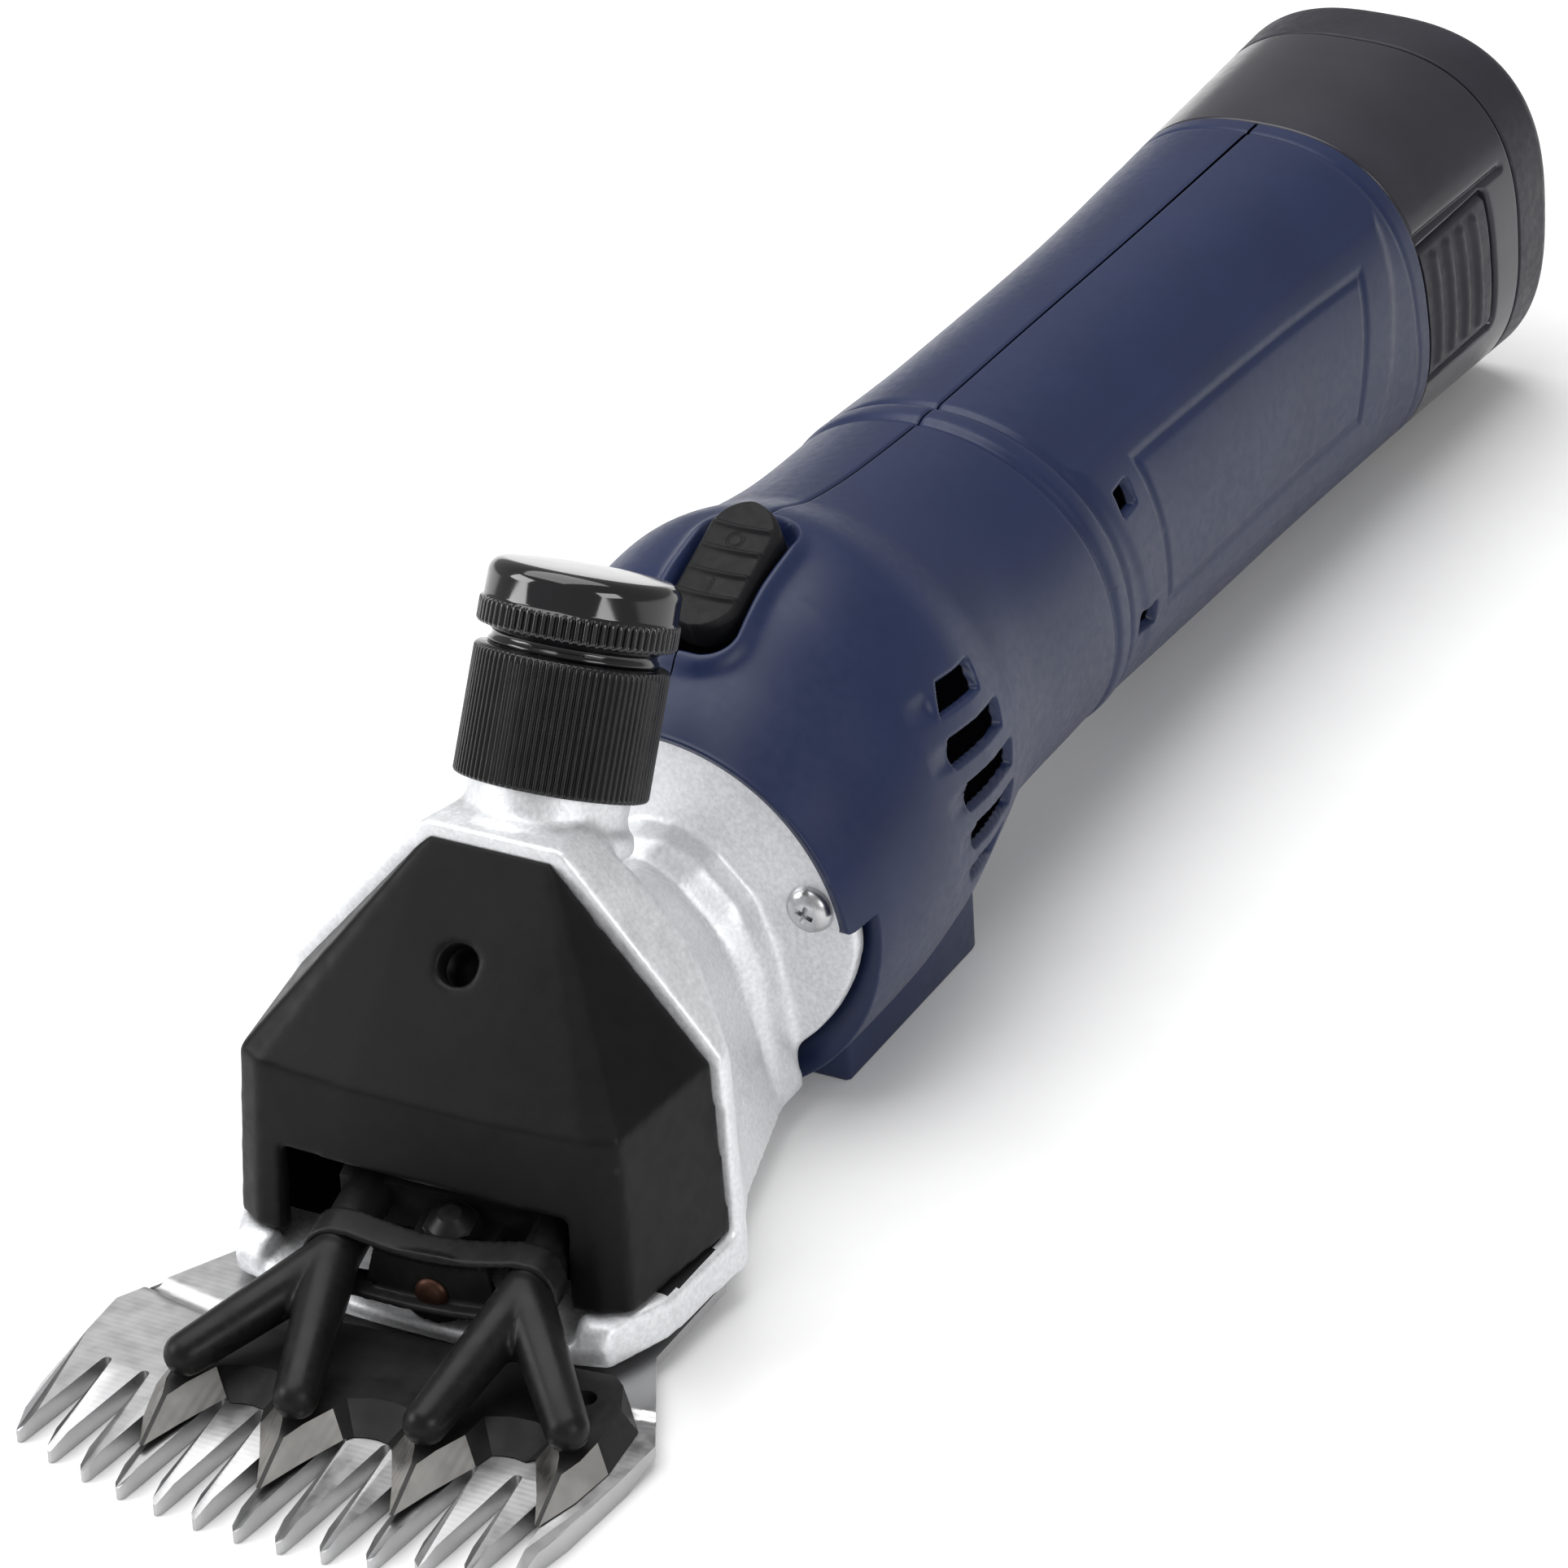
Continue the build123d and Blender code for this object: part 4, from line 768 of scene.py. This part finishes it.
disc = flange_disc()
parts = [
    # the neck: a wide root, a narrow waist, and a raised collar against the flange
    hull(both([(-37.5, 32.5, 4.6), (-37.5, 31.0, 26.0), (-36.5, 22.0, 44.0), (-36.5, 10.0, 58.0), (-22.0, 25.0, 4.5),
               (-22.0, 22.5, 20.0), (-22.0, 17.5, 35.0), (-22.0, 8.0, 48.0)])),
    hull(both([(-24.0, 26.2, 4.5), (-24.0, 23.0, 20.0), (-24.0, 18.0, 36.0), (-24.0, 8.0, 50.0)]
              + [(-3.0, y - 3.0 * (z > 6), z - 3.0 * (z > 30)) for y, z in ARCH])),
    hull(both([(x, y, z) for x in (-1.2, 3.2) for y, z in ARCH]
              + [(-4.4, y - 2.2 * (z > 6), z - 2.4 * (z > 30)) for y, z in ARCH])),
    # the rim that the cover closes against
    hull(both([(-41.2, 34.3, 4.6), (-41.2, 33.4, 38.3), (-41.0, 10.6, 65.0), (-38.0, 33.9, 4.6), (-38.0, 32.9, 38.0),
               (-31.5, 24.6, 48.4), (-31.0, 19.4, 54.6), (-31.0, 9.6, 63.6)])),
    hull(both([(-39.0, 34.0, 4.6), (-39.0, 34.0, 10.9), (-58.0, 32.9, 4.6), (-58.0, 32.9, 10.9), (-68.0, 29.0, 4.6),
               (-66.4, 29.0, 10.9), (-68.6, 28.5, 8.0), (-70.4, 19.0, 4.6), (-70.4, 19.0, 8.0), (-71.7, 6.0, 4.6),
               (-71.7, 6.0, 7.0)])),
    on_knob(-15.0, 2.8, 11.0),
    on_knob(-7.5, -4.4, 12.7, 12.2),
    on_knob(2.0, 10.9, 9.3),
    disc,
]
cuts = [
    hull(both([(-60.0, 23.0, 9.0), (-60.0, 23.0, 20.0), (-90.0, 26.0, 4.5), (-90.0, 26.0, 20.0)])),
    hull(both([(-38.0, 29.5, 9.0), (-38.0, 29.5, 20.0), (-56.0, 28.5, 9.0), (-56.0, 28.5, 20.0), (-64.0, 25.5, 9.0),
               (-64.0, 25.5, 20.0)])),
    hull(both([(-41.6, 29.6, 9.0), (-41.6, 27.5, 33.0), (-41.6, 6.5, 57.0), (-17.0, 15.5, 9.0), (-17.0, 15.0, 26.0),
               (-17.0, 5.0, 40.0)])),
]
cuts += [rod((-10, y, z), (3.0, y, z), 4.1) for y, z in SCREW_SPOTS]
casting = soft_solid("casting", parts, cuts, 0.55, 12)
show(casting, "handle", "cast_aluminium", M["cast_aluminium"], "head_casting")
casting.data.materials.append(hollow_shade)
# faces of the hollow that look towards its middle get painted shade, a near-black material
for face in casting.data.polygons:
    x, y, z = (face.center.x - X0) * 1000, face.center.y * 1000, face.center.z * 1000
    inward = -y * face.normal.y + (26 - z) * face.normal.z
    depth = x + 41.6
    within = abs(y) < 30.6 - 0.57 * depth and z < 58.5 - 0.69 * depth
    if z > 8.6 and -57 < x < -15 and (x < -41.7 and abs(y) < 32 or inward > 3.0 and within):
        face.material_index = 1

# ---------------------------------------------------------------- cover
cover_corners = [(-66.4, 12.0, 11.1), (-65.6, 26.3, 11.1), (-63.2, 30.4, 11.1), (-41.0, 33.0, 11.1),
                 (-64.2, 11.0, 36.2), (-63.5, 25.3, 36.6), (-61.6, 29.0, 36.8), (-41.0, 31.6, 37.8),
                 (-63.3, 0.0, 35.4), (-41.0, 9.3, 63.4)]
inside_corners = [(-64.4, 12.0, 5.0), (-63.6, 24.3, 5.0), (-61.2, 28.4, 5.0), (-30.0, 31.0, 5.0),
                  (-62.2, 12.0, 35.0), (-61.6, 23.5, 34.8), (-59.6, 27.0, 34.8), (-30.0, 29.8, 35.8),
                 (-30.0, 8.6, 68.0)]
OIL_HOLE_R = 2.9
cover = soft_solid("cover", [hull(both(cover_corners))],
                   [hull(both(inside_corners)),
                    hull([(x, y, z) for x in (-75, -58) for y in (-22, 22) for z in (0, 22.6)]
                         + [(x, y, 24.4) for x in (-75, -58) for y in (-21.9, 21.9)]),
                    rod((-62.0, 0, 60.0), (-47.0, 0, 47.2), OIL_HOLE_R)],
                   0.42, 14)
# the oil hole ends in a blind boss on the inside of the cover
boss_start, boss_end = (-49.1, 0, 49.0), (-46.0, 0, 46.35)
pts, faces = lathe([(0.02, 3.4), (3.0, 3.4), (3.0, 0.0), (4.2, 0.0), (4.2, 4.0), (0.02, 4.0)], 64)
boss = mesh_piece("oil_boss", turned(pts, along(boss_start, boss_end)), faces)
cover = join("cover", [cover, boss])
show(cover, "handle", "cover_black", M["cover_black"], "head_cover")


# ---------------------------------------------------------------- tension knob
def flutes(count, depth, low, high):
    def shape(r, h, a):
        if not low <= h <= high or r < 11.5:
            return 0.0
        return -depth * (0.5 + 0.5 * math.cos(count * a)) ** 2
    return shape


sleeve_profile = [(11.5, 0.05), (12.9, 0.05), (13.15, 0.2), (13.3, 0.5)]
sleeve_profile += [(13.3, h) for h in np.linspace(0.7, 17.2, 24)]
sleeve_profile += [(13.2, 17.5), (12.9, 17.8), (11.8, 17.95), (9.6, 17.95), (9.6, 3.2), (11.4, 3.1)]
pts, faces = lathe(sleeve_profile, 720, flutes(88, 0.38, 0.45, 17.3), closed=False)
sleeve = mesh_piece("knob_sleeve", turned(pts, knob_frame), faces)
show(sleeve, "tension_knob", "knob_black", M["knob_black"], "tension_sleeve")
cap_profile = [(5.1, 18.05), (11.6, 18.05), (11.6, 18.6), (11.2, 19.0), (11.2, 19.6), (12.2, 20.2), (13.3, 20.5),
               (13.6, 20.9)]
cap_profile += [(13.6, h) for h in np.linspace(21.1, 23.6, 8)]
cap_profile += [(13.5, 23.9), (13.2, 24.1), (13.15, 24.5), (13.1, 27.2)]
cap_profile += [(11.1 + 2.0 * math.cos(a), 27.3 + 2.1 * math.sin(a)) for a in np.linspace(0, math.pi / 2, 10)]
cap_profile += [(8.0, 29.55), (3.0, 29.62), (0.05, 29.62)]
pts, faces = lathe(cap_profile, 720, flutes(72, 0.55, 20.85, 23.7), closed=False)
cap = mesh_piece("knob_cap", turned(pts, knob_frame), faces)
show(cap, "tension_knob", "knob_black", cap_gloss, "tension_cap")


# ---------------------------------------------------------------- comb and cutter
def bevelled(obj, width, segments=2, angle=35):
    mod = obj.modifiers.new("bevel", "BEVEL")
    mod.width = width * 0.001
    mod.segments = segments
    mod.limit_method = "ANGLE"
    mod.angle_limit = math.radians(angle)
    apply_modifiers(obj)
    obj.data.shade_smooth()
    return obj


PITCH = 6.35
LAST = PITCH * 6


def tip_x(y):
    return -115.4 + 7.2 * (y / LAST) ** 2


def comb_outline():
    """Half the comb's outline from the middle of each valley; one entry is (x, y)."""
    line = [(-42.0, 32.0), (-61.0, 32.0), (-78.5, 41.6)]
    for k in range(13):
        y = LAST - PITCH * k
        tx = tip_x(y)
        root = -92.6 + 2.4 * (y / LAST) ** 2
        if k == 0:
            line += [(-86.0, 41.2), (tx + 9, y + 2.0)]
        line += [(tx + 3.5, y + 0.95), (tx + 0.6, y + 0.62), (tx, y + 0.25), (tx, y - 0.25), (tx + 0.6, y - 0.62),
                 (tx + 3.5, y - 0.95)]
        if k < 12:
            v = y - PITCH / 2
            rx = -92.6 + 2.4 * (v / LAST) ** 2
            for a in np.linspace(-80, 80, 7):
                line.append((rx - 0.75 + 0.75 * math.cos(math.radians(a)), v - 0.7 * math.sin(math.radians(a))))
        else:
            line += [(tx + 9, y - 2.0), (-86.0, -41.2)]
    line += [(-78.5, -41.6), (-61.0, -32.0), (-42.0, -32.0)]
    return line


def comb_mesh():
    line = comb_outline()
    count = len(line)
    pts = []
    for level, (x, y) in [(lv, q) for lv in range(3) for q in line]:
        d = x - tip_x(y)
        under = 0.15 if x < -84 else 1.8
        if level == 2:
            z = 3.28 - 1.4 * math.exp(-max(d, 0) / 1.6) * (x < -90)
        elif level == 1:
            z = max(under, 3.28 - 1.4 * math.exp(-max(d, 0) / 1.6) * (x < -90) - 0.5)
        else:
            z = under
        pts.append((x, y, z))
    bm = bmesh.new()
    verts = [bm.verts.new(q) for q in place(pts)]
    for lv in range(2):
        for k in range(count):
            a, b = lv * count + k, lv * count + (k + 1) % count
            bm.faces.new((verts[a], verts[b], verts[b + count], verts[a + count]))
    top = bm.faces.new([verts[2 * count + k] for k in range(count)])
    low = bm.faces.new([verts[k] for k in range(count)][::-1])
    bm.normal_update()
    bmesh.ops.triangulate(bm, faces=[top, low], ngon_method="EAR_CLIP")
    for normal, steps in (((1, 0, 0), np.arange(-83.6, -71, 0.4)), ((0, 1, 0), np.arange(-40.5, 41, 2.25))):
        for at in steps:
            bmesh.ops.bisect_plane(bm, geom=bm.verts[:] + bm.edges[:] + bm.faces[:], dist=1e-7,
                                   plane_co=place([(at * normal[0], at * normal[1], 0)])[0], plane_no=normal)
    for v in bm.verts:
        x, y = (v.co.x - X0) * 1000, v.co.y * 1000
        if v.co.z > 0.0029:
            v.co.z -= 0.0008 * math.exp(-((x + 77.6 - 4.2 * (y / 38) ** 2) / 1.2) ** 4)
    bmesh.ops.recalc_face_normals(bm, faces=bm.faces)
    data = bpy.data.meshes.new("comb")
    bm.to_mesh(data)
    bm.free()
    return linked("comb_blade", data)


comb = comb_mesh()
comb.data.shade_smooth()
comb.data.set_sharp_from_angle(angle=math.radians(30))
show(comb, "handle", "comb_steel", M["comb_steel"], "comb")

SWING = math.radians(6.0)
swing = Matrix.Translation((-26.0, 0, 0)) @ Matrix.Rotation(SWING, 4, "Z") @ Matrix.Translation((26.0, 0, 0))


def swung(points):
    return turned(points, swing)


def cutter_mesh():
    """Four bevelled teeth: a narrow blackened ridge on top and bright ground flanks."""
    low = [(-73.2, 27.0), (-75.0, 29.0), (-80.5, 32.6)]
    high = [(-73.6, 26.6), (-75.3, 28.4), (-80.5, 30.4)]
    lit = [False] * 3
    tips = [(-103.4, 28.3), (-107.2, 9.5), (-107.2, -9.5), (-103.4, -28.3)]
    for k, (x, y) in enumerate(tips):
        outer = 4.3 if k == 0 else 6.0
        low += [(x + 13.1, y + outer), (x + 6, y + 2.7), (x, y + 0.3), (x, y - 0.3), (x + 6, y - 2.7)]
        lit += [True, True, False, True, True, False]
        high += [(x + 15.4, y + outer - 2.3), (x + 11, y + 1.5), (x + 7.5, y + 0.35), (x + 7.5, y - 0.35),
                 (x + 11, y - 1.5)]
        outer = 4.3 if k == 3 else 6.0
        low += [(x + 13.1, y - outer)]
        high += [(x + 15.4, y - outer + 2.3)]
        if k < 3:
            mid = (y + tips[k + 1][1]) / 2
            root = (x + tips[k + 1][0]) / 2 + 14.6
            for dy in (2.4, 0.8, -0.8, -2.4):
                lit.append(False)
                low.append((root - 0.08 * dy * dy, mid + dy))
                high.append((root + 4.6 - 0.2 * dy * dy, mid + 2.1 * dy))
    low += [(-80.5, -32.6), (-75.0, -29.0), (-73.2, -27.0)]
    high += [(-80.5, -30.4), (-75.3, -28.4), (-73.6, -26.6)]
    count = len(low)
    pts = [(x, y, 3.42) for x, y in low] + [(x, y, 6.38) for x, y in high]
    bm = bmesh.new()
    verts = [bm.verts.new(q) for q in place(swung(pts))]
    for k in range(count):
        j = (k + 1) % count
        face = bm.faces.new((verts[k], verts[j], verts[j + count], verts[k + count]))
        face.material_index = 1 if k < len(lit) and lit[k] else 0
    top = bm.faces.new([verts[count + k] for k in range(count)])
    base = bm.faces.new([verts[k] for k in range(count)][::-1])
    bm.normal_update()
    bmesh.ops.triangulate(bm, faces=[top, base], ngon_method="EAR_CLIP")
    bmesh.ops.recalc_face_normals(bm, faces=bm.faces)
    data = bpy.data.meshes.new("cutter")
    bm.to_mesh(data)
    bm.free()
    obj = linked("cutter_blade", data)
    obj.data.materials.append(M["black_oxide"])
    obj.data.materials.append(ground)
    return obj


cutter = cutter_mesh()
for side in (-1, 1):
    hole = rod(*swung([(-79.5, side * 24.7, 2), (-79.5, side * 24.7, 9)]), 1.7)
    cut_away(cutter, hole)
cutter.data.set_sharp_from_angle(angle=math.radians(25))
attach(cutter, "cutter_fork")
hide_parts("cutter")


# ---------------------------------------------------------------- fork feet, band, bolt
for side, node in ((-1, "fork_foot_left"), (1, "fork_foot_right")):
    def at(x, y, z):
        return Vector(swung([(x, side * y, z)])[0])
    root = at(-72.9, 14.0, 15.7)
    parts = [capsule(at(-58.0, 14.0, 19.2), root, 3.4, 3.6), capsule(root, at(-90.6, 27.4, 9.6), 3.75, 3.05),
             capsule(root, at(-95.0, 9.3, 9.6), 3.75, 3.05), capsule(root, at(-79.5, 15.6, 13.2), 3.6, 2.6)]
    foot = soft_solid("foot_" + node[10:], parts, [], 0.35, 6)
    show(foot, "cutter_fork", "black_oxide", M["black_oxide"], node)


def band_line():
    """The band's loop seen from the front: round both feet, sagging above and below between them."""
    reach, radius = 14.0, 4.1
    angles = [math.pi / 2 - math.pi * k / 27 for k in range(28)]
    line = [(reach + radius * math.cos(a), radius * math.sin(a)) for a in angles]
    line += [(y, -radius - 0.5 * math.cos(y / 10 * math.pi / 2)) for y in np.linspace(10, -10, 12)]
    line += [(-reach - radius * math.cos(a), -radius * math.sin(a)) for a in angles]
    line += [(y, radius - 1.5 * math.cos(y / 12 * math.pi / 2)) for y in np.linspace(-12, 12, 14)]
    return line


def band_piece():
    lean = math.atan2(3.8, 16.5)
    wide, thick, crown = 2.1, 0.42, 0.15
    section = ((-wide, -thick), (-wide - crown, 0), (-wide, thick), (wide, thick), (wide + crown, 0), (wide, -thick))
    line = band_line()
    pts = []
    for k, (y, z) in enumerate(line):
        (ya, za), (yb, zb) = line[k - 1], line[(k + 1) % len(line)]
        t = Vector((yb - ya, zb - za)).normalized()
        for du, dn in section:
            yy, zz = y - t.y * dn, z + t.x * dn
            pts.append((-71.0 + du * math.cos(lean) + zz * math.sin(lean), yy,
                        16.2 + du * math.sin(lean) + zz * math.cos(lean)))
    cols = len(section)
    faces = []
    for i in range(len(line)):
        j = (i + 1) % len(line)
        faces += [(i * cols + c, i * cols + (c + 1) % cols, j * cols + (c + 1) % cols, j * cols + c)
                  for c in range(cols)]
    return mesh_piece("band", swung(pts), faces)


def lobe_piece():
    """The plate that hangs from the band and carries the rivet."""
    line = [(-9.6, 13.2), (-8.0, 19.0), (8.0, 19.0), (9.6, 13.2), (5.4, 12.0)]
    line += [(5.4 * math.cos(a), 13.4 + 5.3 * math.sin(a))
             for a in np.linspace(-0.15 * math.pi, -0.85 * math.pi, 16)]
    line += [(-5.4, 12.0)]
    count = len(line)
    faces = [tuple(range(count)), tuple(range(count, 2 * count))[::-1]]
    faces += [(k, k + count, (k + 1) % count + count, (k + 1) % count) for k in range(count)]
    return mesh_piece("lobe", swung([(x, y, z) for x in (-72.2, -71.3) for y, z in line]), faces)


retainer = soft_solid("retainer", [band_piece(), lobe_piece()], [], 0.24, 3)
show(retainer, "cutter_fork", "black_oxide", M["black_oxide"], "fork_retainer")

rivet_profile = [(0.05, 1.0), (1.2, 0.95), (2.0, 0.7), (2.4, 0.25), (2.4, 0.0), (1.25, 0.0), (1.25, -5.6)]
pts, faces = lathe(rivet_profile, 40, closed=False)
a, b = swung([(-72.2, 0, 12.9), (-80.0, 0, 12.9)])
rivet = mesh_piece("rivet", turned(pts, along(a, b)), faces)
show(rivet, "cutter_fork", "copper_rivet", M["copper_rivet"], "fork_rivet")


# ---------------------------------------------------------------- switch and screws
def switch_piece():
    """A slider with rounded ends, four bowed ribs and two plain moulded marks."""
    rows, cols = 190, 110
    u = np.linspace(-11.0, 11.0, rows)
    w = np.linspace(-1, 1, cols)
    uu, ww = np.meshgrid(u, w, indexing="ij")
    half = 5.55 * np.sqrt(np.clip(1 - np.clip((np.abs(uu) - 6.0) / 5.05, 0, 1) ** 2, 0.0, 1))
    v = ww * np.maximum(half, 0.02)
    edge = np.minimum(half - np.abs(v), 1.2)
    h = 2.3 - 1.0 * (1 - np.clip(edge / 1.1, 0, 1)) ** 2 - 0.012 * v * v + 0.5 * np.clip((uu - 6) / 5, 0, 1)
    for k in range(4):
        line = uu - (6.4 - 4.1 * k) - 0.02 * v * v
        h = h + 0.55 * step_in(np.abs(line) - 0.32, 0.12) * step_in(np.abs(v) - half + 0.8, 0.2)
    ring = np.abs(np.hypot(uu - 4.3, v) - 1.15)
    bar = rounded_box(uu + 3.9, v, 1.2, 0.16, 0.1)
    h = h - 0.18 * bump_at(ring, 0.22) - 0.18 * step_in(bar, 0.08)
    top = np.stack([uu, v, h], -1)
    skirt = top.copy()
    skirt[..., 2] = -4.0
    pts = np.concatenate([top.reshape(-1, 3), skirt.reshape(-1, 3)])
    faces = [tuple(f) for f in grid_faces(rows, cols)] + rim_walls(rows, cols)
    m = Matrix.Translation((SWITCH_X, 0, SWITCH_Z)) @ Matrix.Rotation(-SLOPE, 4, "Y")
    return mesh_piece("slider", turned(pts, m), faces)


show(switch_piece(), "switch", "switch_black", M["switch_black"], "switch_button")


def cross_head(y, z):
    """A domed screw head with a cross recess."""
    profile = [(0.05, 2.15), (1.3, 2.1), (2.4, 1.75), (3.2, 1.1), (3.5, 0.4), (3.5, 0.0), (1.9, 0.0), (1.9, -12.0)]
    pts, faces = lathe(profile, 96, closed=False)
    a, b = (3.0, y, z), (-5.0, y, z)
    head = mesh_piece("head", turned(pts, along(a, b)), faces)
    for turn in (20, 110):
        m = Matrix.Translation((0.9, y, z)) @ Matrix.Rotation(math.radians(turn), 4, "X")
        corners = [(-1.2, s * 2.3, t * 0.5) for s in (-1, 1) for t in (-1, 1)]
        corners += [(1.0, s * 0.7, t * 0.3) for s in (-1, 1) for t in (-1, 1)]
        cut_away(head, hull([tuple(m @ Vector(c)) for c in corners]))
    return head


screws = join("flange_heads", [cross_head(y, z) for y, z in SCREW_SPOTS])
screws.data.set_sharp_from_angle(angle=math.radians(35))
show(screws, "handle", "screw_steel", M["screw_steel"], "flange_screws")


# ---------------------------------------------------------------- floor, light and camera
ground_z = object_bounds()[0].z
reach = 3.0
corners = [(-reach, -reach), (reach, -reach), (reach, reach), (-reach, reach)]
floor_data = bpy.data.meshes.new("floor")
floor_data.from_pydata([(x, y, ground_z) for x, y in corners], [], [(0, 1, 2, 3)])
floor = linked("floor", floor_data)
floor_data.materials.append(material("pale floor", (0.88, 0.88, 0.88), 0.75, tone=0.01, bump=0.02, specular=0.1))

world = bpy.data.worlds.new("studio")
bpy.context.scene.world = world
world.use_nodes = True
world.node_tree.nodes["Background"].inputs["Color"].default_value = (1.0, 1.0, 1.0, 1)
world.node_tree.nodes["Background"].inputs["Strength"].default_value = 0.40


def softbox(name, place_at, aim, width, height, power):
    light = bpy.data.lights.new(name, "AREA")
    light.shape = "RECTANGLE"
    light.size = width
    light.size_y = height
    light.energy = power
    obj = linked(name, light)
    obj.location = place_at
    obj.rotation_euler = (Vector(aim) - Vector(place_at)).to_track_quat("-Z", "Y").to_euler()
    return obj


softbox("top_light", (0.1, 0.25, 1.1), (0, 0, 0.03), 1.3, 1.1, 15)
softbox("left_light", (-0.6, 0.9, 0.55), (0, 0, 0.04), 0.6, 0.5, 7)
softbox("front_light", (-0.5, -0.9, 0.5), (0, 0, 0.03), 0.5, 0.4, 4)

camera_data = bpy.data.cameras.new("camera")
camera_data.lens = 170.75
camera_data.sensor_width = 36.0
camera_data.clip_start = 0.05
camera_data.clip_end = 20
camera = linked("camera", camera_data)
# the photo's camera, by its axes and its place
right = Vector((0.47397, -0.87889, -0.05385))
up = Vector((0.47186, 0.20187, 0.85825))
back = Vector((-0.74345, -0.43219, 0.51039))
pose = Matrix((right, up, back)).transposed().to_4x4()
pose.translation = Vector((X0 - 0.7470, -0.4557, 0.5683))
camera.matrix_world = pose
bpy.context.scene.camera = camera
bpy.context.scene.view_settings.view_transform = "Standard"
